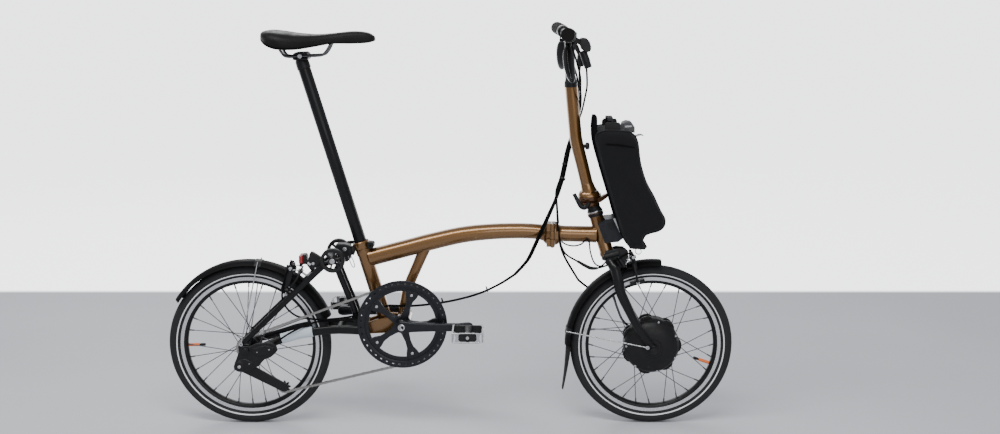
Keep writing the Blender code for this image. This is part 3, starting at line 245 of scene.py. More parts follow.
class Build:
    """Collects several forms into one mesh. v holds its points, f its faces."""
    def __init__(self):
        self.v, self.f = [], []

    def add(self, verts, faces):
        o = len(self.v)
        self.v += list(verts)
        self.f += [tuple(i + o for i in f) for f in faces]
        return self

    def rings(self, rings, closed=False, caps=True):
        """Skin over rings of equal length. A closed one joins the last ring to the first."""
        n, m = len(rings[0]), len(rings)
        verts = [p for r in rings for p in r]
        faces = []
        for i in range(m if closed else m - 1):
            for k in range(n):
                a, b = i * n + k, i * n + (k + 1) % n
                c, d = ((i + 1) % m) * n + (k + 1) % n, ((i + 1) % m) * n + k
                faces.append((a, b, c, d))
        if caps and not closed:
            faces += [tuple(range(n)), tuple((m - 1) * n + k for k in range(n))]
        return self.add(verts, faces)

    def tube(self, path, radii, n=24, flat=1.0, smooth=True, closed=False, ref=None):
        """Tube along a path. flat narrows it sideways, ref says which way sideways is."""
        path, radii = dense(path, radii, smooth, closed)
        return self.rings(tube_rings(path, radii, n, flat, ref, closed), closed=closed)

    def turned(self, centre, profile, n=96, axis=V((0, 1, 0)), closed=True):
        """Turned form. The profile holds radius and distance along the axis."""
        centre, w = V(centre), V(axis).normalized()
        u = w.orthogonal().normalized()
        v = w.cross(u)
        rings = []
        for k in range(n):
            a = 2 * math.pi * k / n
            e = u * math.cos(a) + v * math.sin(a)
            rings.append([centre + e * r + w * o for r, o in profile])
        if closed:
            return self.rings(rings, closed=True)
        m = len(profile)
        verts = [p for r in rings for p in r]
        faces = [(i * m + k, i * m + k + 1, ((i + 1) % n) * m + k + 1, ((i + 1) % n) * m + k)
                for i in range(n) for k in range(m - 1)]
        faces += [tuple(i * m for i in range(n)), tuple(i * m + m - 1 for i in range(n))]
        return self.add(verts, faces)

    def rod(self, a, b, r, n=20, chamfer=0.0):
        """Round bar from a to b with chamfered ends."""
        a, b = V(a), V(b)
        w = b - a
        L = w.length
        c = min(chamfer or r * 0.12, L * 0.3)
        return self.turned(a, [(r - c, 0), (r, c), (r, L - c), (r - c, L)], n, w, closed=False)

    def plate(self, outline, y0, y1, chamfer=0.0006):
        """Plate in the XZ plane with chamfered edges."""
        pts = [V((x, 0, z)) for x, z in outline]
        inner = inset(pts, chamfer)
        s = 1 if y1 > y0 else -1
        rows = [(inner, y0), (pts, y0 + s * chamfer), (pts, y1 - s * chamfer), (inner, y1)]
        return self.rings([[V((p.x, y, p.z)) for p in ring] for ring, y in rows])

    def object(self, name, mat, body, *replaced, sharp=38, bevel=0.0, sub=0):
        obj = make(name, self.v, self.f, sharp)
        return dress(obj, mat, body, *replaced, bevel=bevel, sub=sub)


def dress(obj, mat, body, *replaced, bevel=0.0, sub=0):
    """Gives an object its material, edge rounding and body, and hides the CAD pieces it stands for."""
    obj.data.materials.clear()
    obj.data.materials.append(mat)
    if bevel:
        m = obj.modifiers.new("bevel", "BEVEL")
        m.width, m.segments, m.limit_method, m.angle_limit = bevel, 2, "ANGLE", math.radians(40)
    if sub:
        m = obj.modifiers.new("sub", "SUBSURF")
        m.levels = m.render_levels = sub
    if body:
        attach(obj, body)
    if replaced:
        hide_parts(*replaced)
    return obj


def inset(pts, d):
    """Outline in the XZ plane moved inwards by d."""
    out = []
    n = len(pts)
    area = sum(pts[i].x * pts[(i + 1) % n].z - pts[(i + 1) % n].x * pts[i].z for i in range(n))
    s = 1 if area > 0 else -1
    for i in range(n):
        e0 = (pts[i] - pts[i - 1]).normalized()
        e1 = (pts[(i + 1) % n] - pts[i]).normalized()
        n0, n1 = V((-e0.z, 0, e0.x)) * s, V((-e1.z, 0, e1.x)) * s
        b = n0 + n1
        b = b.normalized() if b.length > 1e-6 else n0
        out.append(pts[i] + b * (d / max(0.5, b.dot(n0))))
    return out


def spline(p0, p1, p2, p3, t):
    """Catmull-Rom point between p1 and p2."""
    return 0.5 * ((2 * p1) + (p2 - p0) * t + (2 * p0 - 5 * p1 + 4 * p2 - p3)
            * t * t + (3 * p1 - p0 - 3 * p2 + p3) * t * t * t)


def dense(path, radii, smooth=True, closed=False, per=6):
    """Path with per smooth steps between points, and a radius for each point."""
    path = [V(p) for p in path]
    if not isinstance(radii, (list, tuple)):
        radii = [radii] * len(path)
    if not smooth or (len(path) < 3 and not closed):
        return path, list(radii)
    out, rad = [], []
    n = len(path)
    for i in range(n if closed else n - 1):
        if closed:
            ids = [(i - 1) % n, i, (i + 1) % n, (i + 2) % n]
        else:
            ids = [max(i - 1, 0), i, i + 1, min(i + 2, n - 1)]
        p = [path[k] for k in ids]
        for s in range(per):
            t = s / per
            out.append(spline(*p, t))
            rad.append(radii[ids[1]] * (1 - t) + radii[ids[2]] * t)
    if not closed:
        out.append(path[-1])
        rad.append(radii[-1])
    return out, rad


def tube_rings(path, radii, n, flat=1.0, ref=None, closed=False):
    """Rings square to a path, turned as little as possible from one to the next."""
    rings, side = [], None
    m = len(path)
    for i, p in enumerate(path):
        if closed:
            t = (path[(i + 1) % m] - path[i - 1]).normalized()
        else:
            t = heading(path, i)
        if ref is not None or side is None:
            r0 = ref if ref is not None else (across(1) if abs(t.y) < 0.9 else V((1, 0, 0)))
            side = (r0 - t * r0.dot(t)).normalized()
        else:
            side = (side - t * side.dot(t)).normalized()
        up = t.cross(side)
        rings.append([p + side * (math.cos(a) * radii[i] * flat) + up * (math.sin(a) * radii[i])
                for a in (2 * math.pi * (k + 0.5) / n for k in range(n))])
    return rings


def polar(c, r, deg, y=0.0):
    """Point at a radius and an angle round c, seen from the right side."""
    a = math.radians(deg)
    return V((c.x + r * math.cos(a), y, c.z + r * math.sin(a)))


def Y(p, y):
    """The point p moved to the distance y from the middle plane."""
    return V((p.x, y, p.z))


def across(y):
    """Vector across the bicycle, to the left for a positive y."""
    return V((0, y, 0))


def both_sides(half):
    """Profile from its half on the left, given from the inside outwards."""
    return [(r, -y) for r, y in half] + half[::-1]


def smooth_path(points, closed=False, per=6):
    return dense(points, 1.0, True, closed, per)[0]


def heading(path, i):
    """Direction of an open path at its point i."""
    return (path[min(i + 1, len(path) - 1)] - path[max(i - 1, 0)]).normalized()


def head_axis(s):
    return HEAD_TOP + HEAD_DOWN * s


def bolt(b, p, direction, r=0.004, h=0.003, hexed=True):
    """Bolt head with a socket, hexagonal or round."""
    b.turned(V(p), [(r * 0.86, 0), (r, 0.0004), (r, h * 0.8), (r * 0.8, h), (r * 0.45, h),
            (r * 0.42, h * 0.45)], 6 if hexed else 20, V(direction).normalized(), closed=False)


# ---------------------------------------------------------------- wheels
def wheel(prefix, hub, body, valve_deg):
    """Tyre, reflective line, rim, brake track and valve. Half profiles are mirrored."""
    half = [(0.1805, 0.01), (0.1822, 0.0124), (0.185, 0.0148), (0.1885, 0.0167), (0.1925, 0.0178),
            (0.197, 0.018), (0.2012, 0.0171), (0.205, 0.015), (0.208, 0.0118), (0.2098, 0.008),
            (0.2106, 0.004), (0.21075, 0.0)]
    Build().turned(hub, half + [(r, -y) for r, y in reversed(half[:-1])], 160).object(prefix + "_tyre_body",
            tread_material(hub), body, prefix + "_tyre")
    s = Build()
    for k in SIDES:
        s.turned(hub, [(0.187, k * 0.016), (0.1873, k * 0.0166), (0.1898, k * 0.0176),
                (0.1902, k * 0.0171)], 160)
    s.object(prefix + "_reflective_line", STRIPE, body)
    half = [(0.1622, 0.0), (0.1624, 0.004), (0.1634, 0.0072), (0.166, 0.0096), (0.17, 0.0108),
            (0.1712, 0.0113), (0.1806, 0.0113), (0.1822, 0.0108), (0.1826, 0.0096), (0.18, 0.0092)]
    Build().turned(hub, half + [(r, -y) for r, y in reversed(half[1:])], 160).object(prefix + "_rim_body",
            RIM, body, prefix + "_rim")
    s = Build()
    for k in SIDES:
        s.turned(hub, [(0.1716, k * 0.011), (0.1718, k * 0.01155), (0.1804, k * 0.01155),
                (0.1806, k * 0.011)], 160)
    s.object(prefix + "_brake_track", TRACK, body)
    # valve with its sleeve
    e = polar(V(), 1, valve_deg)
    v = Build().rod(hub + e * 0.164, hub + e * 0.125, 0.0028, 16)
    v.rod(hub + e * 0.13, hub + e * 0.118, 0.0036, 16)
    v.object(prefix + "_valve", PLASTIC, body)
    Build().rod(hub + e * 0.1615, hub + e * 0.133, 0.004, 16).object(prefix + "_valve_sleeve", ORANGE, body)


def spokes(name, hub, body, flange_of, flange_y, replaced):
    """Crossed spokes with nipples and bent heads. flange_of gives a hole's radius and angle."""
    b, nips = Build(), Build()
    for k in range(SPOKE_COUNT):
        side = 1 if k % 2 else -1
        lead = 1 if (k // 2) % 2 else -1
        tip_a = 360.0 * k / SPOKE_COUNT
        hole_r, hole_a = flange_of(k)
        start = polar(hub, hole_r, hole_a, side * (flange_y + 0.001 * lead))
        end = polar(hub, 0.1632, tip_a, side * 0.003)
        b.tube([start, end], SPOKE_R, 7, smooth=False)
        d = (end - start).normalized()
        b.rod(start - across(side * 0.0022), start + across(side * 0.0022), 0.0016, 8)
        nips.rod(end - d * 0.0125, end + d * 0.0005, 0.0019, 10)
    b.object(name + "_wires", SPOKE, body, replaced)
    nips.object(name + "_nipples", SPOKE, body)


def crossed(hole_r, lean):
    """Holes at one radius. Pairs of spokes lean by turns ahead of and behind their rim ends."""
    return lambda k: (hole_r, 360.0 * k / SPOKE_COUNT + (lean if (k // 2) % 2 else -lean))


def rear_wheel():
    wheel("rear", REAR, "rear_wheel", 181)
    spokes("rear_spoke", REAR, "rear_wheel", crossed(0.0215, 48), 0.0265, "rear_spokes")
    Build().turned(REAR, [(0.0054, -0.041), (0.03, -0.0409), (0.0302, -0.0386), (0.012, -0.038),
            (0.0112, -0.03), (0.024, -0.0292), (0.0252, -0.028), (0.0252, -0.0256), (0.0235, -0.0246),
            (0.0175, -0.0235), (0.015, -0.018), (0.016, 0.0), (0.015, 0.018), (0.0175, 0.0235),
            (0.0235, 0.0246), (0.0252, 0.0256), (0.0252, 0.028), (0.024, 0.0292), (0.015, 0.031),
            (0.013, 0.048), (0.011, 0.05), (0.0054, 0.05)],
            72).object("rear_hub_shell", SATIN, "rear_wheel")
    gear(REAR, 13, SPROCKET_R, 0.0113, -0.0462, -0.0438, "sprocket_teeth", GREY, "sprocket", "sprocket")


def front_wheel():
    wheel("front", FRONT, "front_wheel", -18.5)
    spokes("front_spoke", FRONT, "front_wheel", crossed(0.0748, 22), 0.0105, "front_spokes")
    b = Build()
    steps = 168
    for y0, y1 in ((-0.0155, -0.0085), (0.0085, 0.0155)):
        outer = []
        for k in range(steps):
            a = 2 * math.pi * k / steps
            lobe = max(0.0, math.cos(7 * (a + math.radians(1)))) ** 0.45
            outer.append((FRONT.x + (0.0722 + 0.0062 * lobe) * math.cos(a),
                    FRONT.z + (0.0722 + 0.0062 * lobe) * math.sin(a)))
        b.plate(outer, y0, y1, 0.0009)
    b.object("motor_spoke_flanges", CAST, "front_wheel")
    half = [(0.0718, 0.0), (0.072, 0.017), (0.0712, 0.02), (0.069, 0.023), (0.0655, 0.0295), (0.064, 0.031),
            (0.06, 0.0345), (0.052, 0.039), (0.044, 0.042), (0.033, 0.0437), (0.024, 0.0446),
            (0.023, 0.0462), (0.014, 0.047), (0.0054, 0.047)]
    Build().turned(FRONT, [(r, -y) for r, y in reversed(half)] + half[1:], 128).object("motor_shell", CAST,
            "front_wheel", "hub_motor")
    b = Build()
    for k in range(7):
        for s in SIDES:
            p = polar(FRONT, 0.0668, 360.0 * k / 7 + 25, s * 0.0275)
            bolt(b, p, (0, s, 0), 0.003, 0.003)
    b.object("motor_cover_screws", STEEL, "front_wheel")


def front_axle():
    Build().rod(Y(FRONT, -0.0764), Y(FRONT, 0.0764), AXLE_R, 24).object("front_axle_bar", SATIN, "fork",
            "front_axle")
    b = Build()
    for s in SIDES:
        b.turned(Y(FRONT, s * 0.0676), [(0.005, 0), (0.0105, 0.0), (0.0105, 0.0016), (0.005, 0.0016)], 32,
                across(s))
        b.turned(Y(FRONT, s * 0.069), [(0.005, 0), (0.009, 0.0), (0.0094, 0.0008), (0.0094, 0.0044),
                (0.0084, 0.0052), (0.005, 0.0052)], 6, across(s))
    b.object("front_axle_nuts", SATIN, "fork")


def gear(centre, teeth, pitch_r, inner_r, y0, y1, name, mat, body, *replaced):
    """Toothed ring from y0 to y1 with a narrow edge on each tooth. Each tooth takes eight steps."""
    rings = []
    mid_y = (y0 + y1) / 2
    for k in range(teeth * 8):
        a = 2 * math.pi * k / (teeth * 8)
        height = (0.5 + 0.5 * math.cos(2 * math.pi * (k % 8) / 8)) ** 0.8
        tip = pitch_r - 0.0036 + 0.0062 * height
        section = ((inner_r, y0), (tip - 0.0012, y0), (tip, mid_y - 0.0004), (tip, mid_y + 0.0004),
                (tip - 0.0012, y1), (inner_r, y1))
        rings.append([centre + V((r * math.cos(a), y, r * math.sin(a))) for r, y in section])
    b = Build()
    b.rings(rings, closed=True)
    return b.object(name, mat, body, *replaced, sharp=30)


# ---------------------------------------------------------------- main frame
MAIN_PATH = [(-0.208, 0, 0.4402), (-0.1938, 0, 0.444), (-0.1029, 0, 0.468), (-0.0486, 0, 0.4825),
        (0.0311, 0, 0.5005), (0.1067, 0, 0.5088), (0.1862, 0, 0.511), (0.246, 0, 0.5068)]
MAIN_R = [0.0225, 0.0225, 0.0222, 0.022, 0.0212, 0.0205, 0.0198, 0.0195]


def hinge_block(b, x0, x1):
    """Half of the main hinge, widening from the tube at x0 to the joint face at x1."""
    outline = [(0.02, 0.0262), (0.0262, 0.02), (0.0285, 0.009), (0.0285, -0.009), (0.0262, -0.021),
            (0.02, -0.0285), (-0.02, -0.0285), (-0.0262, -0.021), (-0.0285, -0.009), (-0.0285, 0.009),
            (-0.0262, 0.02), (-0.02, 0.0262)]
    rows = []
    for x, k in ((x0, 0.72), (x0 + (x1 - x0) * 0.35, 0.93), (x0 + (x1 - x0) * 0.6, 1.0), (x1, 1.0)):
        rows.append([V((x, y * k, HINGE_Z + z * k)) for y, z in outline])
    return b.rings(rows)


def main_tube():
    b = Build().tube(MAIN_PATH, MAIN_R, 48)
    b.tube([(0.232, 0, 0.508), (0.248, 0, 0.5066)], [0.0198, 0.024], 40, smooth=False)
    hinge_block(b, 0.24, 0.2617)
    for z0, z1 in ((0.476, 0.4955), (0.5165, 0.536)):
        b.rod((HINGE_X, HINGE_PIN_Y, z0), (HINGE_X, HINGE_PIN_Y, z1), 0.0066, 24, 0.0006)
        b.plate([(0.247, z0), (0.262, z0), (0.262, z1), (0.247, z1)], -0.039, -0.024)
    b.object("main_tube_body", BRONZE, "main_frame", "main_tube", bevel=0.0004)
    s = Build()
    s.rod((HINGE_X, HINGE_PIN_Y, 0.4735), (HINGE_X, HINGE_PIN_Y, 0.5385), 0.0032, 16)
    s.turned((HINGE_X, HINGE_PIN_Y, 0.5356), [(0.002, 0), (0.0052, 0), (0.0052, 0.0018), (0.002, 0.0026)],
            24, (0, 0, 1))
    s.object("main_hinge_pin", STEEL, "main_frame")
    Build().rod((0.249, 0.029, 0.506), (0.249, 0.0344, 0.506), 0.007,
            24).object("main_hinge_lug", SATIN, "main_frame")


def seat_tube():
    """Seat tube with its clamp collar, ears and knob."""
    Build().turned(SEAT_TOP, [(0.0163, -0.233), (0.0176, -0.233), (0.018, -0.232), (0.018, -0.036),
            (0.0192, -0.033), (0.0192, -0.019), (0.018, -0.0185), (0.0163, -0.001)], 56,
            SEAT_UP).object("seat_tube_body", BRONZE, "main_frame", "seat_tube")
    Build().turned(SEAT_TOP, [(0.0163, -0.0175), (0.0205, -0.0175), (0.0212, -0.0165), (0.0212, -0.0005),
            (0.02, 0.001), (0.0163, 0.001)], 56, SEAT_UP).object("seat_clamp_collar", BRONZE, "main_frame")
    b = Build()
    for s in SIDES:
        b.plate([(-0.213, 0.469), (-0.1985, 0.469), (-0.1945, 0.4725), (-0.1945, 0.48), (-0.1985, 0.4832),
                (-0.213, 0.4832)], s * 0.0025, s * 0.011)
    b.object("seat_clamp_ears", SATIN, "main_frame")
    b = Build()
    b.turned((-0.2035, -0.0112, 0.476), [(0.002, 0), (0.008, 0), (0.0092, 0.0018), (0.0092, 0.008),
            (0.0078, 0.0098), (0.002, 0.01)], 28, across(-1))
    b.object("seat_clamp_knob", BLACK, "main_frame")


def bottom_bracket():
    """Strut, bottom bracket, rear pivot lug and bearing cups."""
    strut = [(-0.058, 0, 0.48), (-0.0674, 0, 0.4604), (-0.086, 0, 0.4172), (-0.1072, 0, 0.3678),
            (-0.1165, 0, 0.33), (-0.121, 0, 0.29)]
    b = Build().tube(strut, [0.015, 0.0148, 0.0135, 0.0132, 0.0138, 0.016], 36)
    b.object("frame_strut_body", BRONZE, "main_frame", "frame_strut")
    b = Build()
    b.turned(BB, both_sides([(0.0086, 0.034), (0.0188, 0.034), (0.0198, 0.033)]), 48)
    b.turned(PIVOT, both_sides([(0.0056, 0.029), (0.0132, 0.029), (0.014, 0.028)]), 40)
    for y0, y1 in ((-0.0264, -0.019), (0.019, 0.0264)):
        b.plate([(-0.223, 0.244), (-0.223, 0.2695), (-0.208, 0.276), (-0.188, 0.2835), (-0.156, 0.289),
                (-0.136, 0.288), (-0.126, 0.27), (-0.13, 0.261), (-0.16, 0.247)], y0, y1, 0.0012)
    b.plate([(-0.22, 0.245), (-0.2, 0.248), (-0.184, 0.249), (-0.184, 0.257), (-0.22, 0.256)], -0.02, 0.02)
    b.object("bottom_bracket_lug", BRONZE, "main_frame", "bottom_bracket", bevel=0.0005)
    b = Build()
    for s in SIDES:
        b.turned(Y(BB, s * 0.0336), [(0.0086, 0), (0.018, 0), (0.018, 0.003), (0.0165, 0.004),
                (0.0086, 0.004)], 48, across(s))
    b.object("bearing_cups", SATIN, "main_frame")


def clamp_levers():
    def lever(name, path, radii, flat):
        Build().tube(path, radii, 20, flat=flat).object(name + "_blade", BLACK, name, name)

    lever("main_hinge_lever", [(0.253, 0.0405, 0.506), (0.244, 0.0405, 0.506), (0.233, 0.0375, 0.5064),
            (0.22, 0.034, 0.507), (0.195, 0.031, 0.5082), (0.17, 0.03, 0.5095)],
            [0.0062, 0.0088, 0.009, 0.0085, 0.0072, 0.005], 0.45)
    lever("seat_clamp_lever", [(-0.199, 0.017, 0.476), (-0.208, 0.019, 0.476), (-0.217, 0.0275, 0.476),
            (-0.242, 0.0286, 0.4756), (-0.268, 0.029, 0.475)], [0.005, 0.0062, 0.0058, 0.0052, 0.004], 0.7)


def seat_post():
    """Seat post, saddle rails and the clamp that holds them."""
    Build().turned(SEAT_TOP, [(0.014, -0.085), (0.0155, -0.085), (0.0159, -0.0842), (0.0159, 0.46),
            (0.015, 0.464), (0.015, 0.482), (0.014, 0.4828)], 56, SEAT_UP,
            closed=False).object("seat_post_tube", BLACK, "seat", "seat_post")
    b = Build()
    for y in (-0.022, 0.022):
        b.tube([(-0.427, y * 1.3, 0.996), (-0.423, y * 1.15, 0.982), (-0.415, y, 0.966),
                (-0.402, y, 0.9568), (-0.36, y, 0.958), (-0.318, y, 0.9602), (-0.306, y * 0.95, 0.968),
                (-0.297, y * 0.85, 0.982), (-0.291, y * 0.7, 0.996)], 0.0035, 16)
    b.object("saddle_rail_wires", SPOKE, "seat", "saddle_rails")
    b = Build()
    b.plate([(-0.388, 0.95), (-0.384, 0.948), (-0.354, 0.948), (-0.35, 0.9505), (-0.35, 0.954),
            (-0.388, 0.953)], -0.028, 0.028, 0.0012)
    b.plate([(-0.3875, 0.9602), (-0.3505, 0.9615), (-0.3515, 0.965), (-0.357, 0.968), (-0.381, 0.9672),
            (-0.3865, 0.964)], -0.028, 0.028, 0.0012)
    b.turned(SEAT_TOP + SEAT_UP * 0.462, [(0.016, 0), (0.0172, 0.0006), (0.0175, 0.003), (0.017, 0.02),
            (0.015, 0.0262), (0.003, 0.0262)], 40, SEAT_UP, closed=False)
    b.object("saddle_clamp", SATIN, "seat")
    b = Build()
    for y in (-0.029, 0.029):
        bolt(b, (-0.3695, y - math.copysign(0.001, y), 0.9585), (0, math.copysign(1, y), 0), 0.0062, 0.0045)
    b.object("saddle_clamp_bolts", STEEL, "seat")


def saddle():
    """Cover, base and seams from stations of x, half width, top and lower edge."""
    stations = [(-0.469, 0.01, 1.0105, 1.0065), (-0.4665, 0.03, 1.015, 1.0025),
            (-0.46, 0.056, 1.0195, 0.996), (-0.4476, 0.072, 1.0222, 0.986), (-0.43, 0.08, 1.0215, 0.9785),
            (-0.408, 0.081, 1.0188, 0.9762), (-0.3743, 0.069, 1.0142, 0.9762),
            (-0.3295, 0.046, 1.0118, 0.9825), (-0.29, 0.031, 1.0142, 0.9888), (-0.24, 0.025, 1.019, 0.9892),
            (-0.205, 0.022, 1.0165, 0.9905), (-0.188, 0.014, 1.0085, 0.9935),
            (-0.184, 0.007, 1.003, 0.9965)]
    tops = smooth_path([V((x, w, t)) for x, w, t, _ in stations])
    lows = smooth_path([V((x, 0, z)) for x, _, _, z in stations])
    stations = [(p.x, p.y, p.z, q.z) for p, q in zip(tops, lows)]
    shell, base = [], []
    for x, w, top, low in stations:
        h = top - low
        groove = 0.002 * max(0.0, min(1.0, (x + 0.452) / 0.03, (-0.225 - x) / 0.03))
        half = [(0, top - groove), (0.1, top - groove * 0.5), (0.22, top), (0.42, top - 0.002 * h),
                (0.62, top - 0.04 * h), (0.8, top - 0.12 * h), (0.92, top - 0.26 * h),
                (0.985, top - 0.46 * h), (1.0, low + 0.34 * h), (0.985, low + 0.14 * h),
                (0.95, low + 0.02 * h), (0.9, low + 0.03 * h)]
        ring = [V((x, w * f, z)) for f, z in half] + [V((x, -w * f, z)) for f, z in reversed(half[1:])]
        shell.append(smooth_path(ring, True, 3))
        hb = [(0, low + 0.3 * h), (0.5, low + 0.26 * h), (0.86, low + 0.14 * h), (0.93, low + 0.05 * h),
                (0.9, low - 0.02 * h), (0.8, low + 0.05 * h), (0.45, low + 0.14 * h), (0, low + 0.18 * h)]
        base.append([V((x * 0.985 - 0.005, w * f * 0.98, z)) for f, z in hb]
                + [V((x * 0.985 - 0.005, -w * f * 0.98, z)) for f, z in reversed(hb[1:-1])])
    cover = Build().rings(shell).object("saddle_cover", SADDLE, "seat", "saddle", sharp=70)
    Build().rings(base).object("saddle_base", PLASTIC, "seat", sharp=60)
    seam = Build()
    for s in SIDES:
        seam.tube([V((x, s * w * 0.99, low + 0.5 * (top - low))) for x, w, top, low in stations[10:-8]],
                0.0006, 8, smooth=False)
    seam.object("saddle_seams", WEBBING, "seat")


# ---------------------------------------------------------------- rear frame
def mudguard(name, hub, start, end, wire, body):
    """Blade between two angles, its wire stays from the top to the low end, and their clip."""
    n = int((end - start) / 2.5)
    prof = []
    for k in range(13):
        f = -1 + 2 * k / 12
        prof.append((GUARD_R - GUARD_DROP * abs(f) ** 3.2, f * GUARD_HALF_WIDTH))
    section = [(r + 0.0005, y * 1.03) for r, y in prof] + [(r - 0.0009, y) for r, y in reversed(prof)]
    rings = [[polar(hub, r, start + (end - start) * k / n, y) for r, y in section] for k in range(n + 1)]
    Build().rings(rings).object(name + "_blade", GUARD, body, name)
    s = Build()
    top, low = [V(p) for p in wire]
    for k in SIDES:
        a, b = V((top.x, top.y * k, top.z)), V((low.x, low.y * k, low.z))
        out = (b - a).normalized()
        s.tube([a - out * 0.004, a + out * 0.05, b - out * 0.03, b], 0.0016, 10)
        s.turned(b, both_sides([(0.0022, 0.0012), (0.0048, 0.0012)]), 20, across(1))
    s.object(name + "_stays", STEEL, body)
    d = top - hub
    d.y = 0
    deg = math.degrees(math.atan2(d.z, d.x))
    rings = [[polar(hub, r + (0.0016 if i < 13 else -0.0006), deg + q, y)
            for i, (r, y) in enumerate(section)] for q in (-2.2, -1.8, 1.8, 2.2)]
    Build().rings(rings).object(name + "_clip", PLASTIC, body)


def chainstays():
    """Chainstays, their ends on the axle and the pivot, and the pivot bolt's heads."""
    b = Build()
    for s in SIDES:
        b.tube([(-0.5225, s * 0.0562, 0.2108), (-0.495, s * 0.0555, 0.2135), (-0.468, s * 0.0505, 0.2225),
                (-0.44, s * 0.044, 0.232), (-0.39, s * 0.04, 0.247), (-0.3, s * 0.04, 0.259),
                (-0.22, s * 0.04, 0.257)], [0.0088, 0.0092, 0.0098, 0.0102, 0.0108, 0.0112, 0.0118], 28,
                flat=0.6, ref=across(1))
        b.turned(Y(REAR, s * 0.0565), [(0.0053, 0), (0.015, 0), (0.016, 0.0008), (0.016, 0.0042),
                (0.015, 0.005), (0.0053, 0.005)], 40, across(s))
        b.turned(Y(PIVOT, s * 0.0318), [(0.005, 0), (0.0142, 0), (0.015, 0.001), (0.015, 0.014),
                (0.0138, 0.0152), (0.005, 0.0152)], 40, across(s))
    b.rod((-0.287, -0.04, 0.2585), (-0.287, 0.04, 0.2585), 0.0085, 28)
    b.object("chainstay_tubes", BLACK, "rear_frame", "chainstays")
    b = Build()
    for s in SIDES:
        bolt(b, Y(PIVOT, s * 0.0462), (0, s, 0), 0.0078, 0.0016, False)
    b.object("pivot_bolt", STEEL, "rear_frame")


def seatstays():
    """Seatstays, the brake bolt through them and the bolts of the rack."""
    c, d = polar(REAR, BRAKE_BOLT_R, REAR_BRAKE_DEG), polar(V(), 1.0, REAR_BRAKE_DEG + 90)
    foot = c - d * 0.0254
    b = Build()
    for s in SIDES:
        b.tube([(-0.5225, s * 0.0575, 0.2355), (-0.516, s * 0.0574, 0.242), (-0.5086, s * 0.057, 0.25),
                (-0.44, s * 0.0505, 0.3158), (-0.37, s * 0.044, 0.383), (-0.33, s * 0.0375, 0.4205),
                (-0.3085, s * 0.034, 0.44)], [0.0078, 0.0074, 0.0072, 0.0075, 0.0078, 0.008, 0.008], 28)
        b.plate([(-0.533, 0.218), (-0.511, 0.218), (-0.508, 0.242), (-0.518, 0.248), (-0.53, 0.24)],
                s * 0.06, s * 0.056)
        b.plate([(-0.316, 0.4405), (-0.306, 0.43), (-0.29, 0.44), (-0.287, 0.45), (-0.296, 0.4555),
                (-0.31, 0.452)], s * 0.03, s * 0.0425, 0.0012)
    b.rod(Y(foot, -0.044), Y(foot, 0.044), 0.0065, 24)
    b.rod((-0.3085, -0.043, 0.44), (-0.3085, 0.043, 0.44), 0.011, 32, 0.001)
    b.object("seatstay_tubes", BLACK, "rear_frame", "seatstays")
    b = Build().rod(foot, c + d * 0.007, 0.0028, 14)
    b.rod((-0.295, -0.0752, 0.4465), (-0.295, 0.0752, 0.4465), 0.004, 18)
    bolt(b, c + d * 0.0062, d, 0.0048, 0.0035)
    for s in SIDES:
        bolt(b, (-0.295, s * 0.0742, 0.4465), (0, s, 0), 0.0066, 0.002, False)
        bolt(b, (-0.3085, s * 0.0425, 0.44), (0, s, 0), 0.0055, 0.0028)
    b.object("rear_frame_bolts", STEEL, "rear_frame")


def suspension():
    """Uprights, suspension bracket, rubber and latch."""
    b = Build()
    for s in SIDES:
        b.tube([(-0.2875, s * 0.021, 0.42), (-0.285, s * 0.021, 0.406), (-0.2655, s * 0.021, 0.355),
                (-0.246, s * 0.021, 0.304), (-0.245, s * 0.021, 0.286)],
                [0.0088, 0.0084, 0.0082, 0.0084, 0.0088], 28)
    b.rod((-0.2455, -0.031, 0.286), (-0.2455, 0.031, 0.286), 0.0085, 28)
    b.rod((-0.287, -0.031, 0.418), (-0.287, 0.031, 0.418), 0.0095, 28)
    b.object("rear_upright_tubes", BLACK, "rear_frame", "rear_uprights")

    b = Build().plate([(-0.293, 0.456), (-0.295, 0.474), (-0.289, 0.4785), (-0.27, 0.4785), (-0.256, 0.474),
            (-0.252, 0.461), (-0.256, 0.44), (-0.264, 0.432), (-0.283, 0.432)], -0.015, 0.015, 0.002)
    b.object("suspension_bracket", SATIN, "rear_frame", "suspension_block", bevel=0.0006)
    Build().rod((-0.256, 0, 0.462), (-0.244, 0, 0.458), 0.0125, 32,
            0.002).object("suspension_rubber", RUBBER, "rear_frame")
    b = Build()
    for s in SIDES:
        bolt(b, (-0.27, s * 0.0146, 0.466), (0, s, 0), 0.0055, 0.0035)
    b.tube([(-0.261, -0.0175, 0.448), (-0.256, -0.018, 0.433), (-0.25, -0.018, 0.42),
            (-0.245, -0.0175, 0.421), (-0.248, -0.0172, 0.435), (-0.254, -0.017, 0.448)], 0.0012, 8)
    b.object("latch_fittings", STEEL, "rear_frame")


def rollers():
    """Small spoked wheels on both ends of the rack bolt."""
    for s, side in ((-1, "right"), (1, "left")):
        c0 = V((-0.295, s * 0.064, 0.4465))
        b = Build()
        b.turned(c0, both_sides([(0.0225, 0.0082), (0.024, 0.009), (0.0295, 0.0088), (0.0309, 0.007)]), 64)
        b.turned(c0, both_sides([(0.0045, 0.01), (0.0088, 0.01), (0.0096, 0.009)]), 40)
        for k in range(6):
            a = 60.0 * k + 15
            e, t = polar(V(), 1, a), polar(V(), 1, a + 90)
            rows = []
            for r, w in ((0.0085, 0.003), (0.0155, 0.0018), (0.023, 0.003)):
                p = c0 + e * r
                rows.append([p + t * w + across(y) for y in (-0.0055, 0.0055)]
                        + [p - t * w + across(y) for y in (0.0055, -0.0055)])
            b.rings(rows)
        b.object("roller_%s_wheel" % side, PLASTIC, "roller_" + side, "roller_" + side, bevel=0.0004)


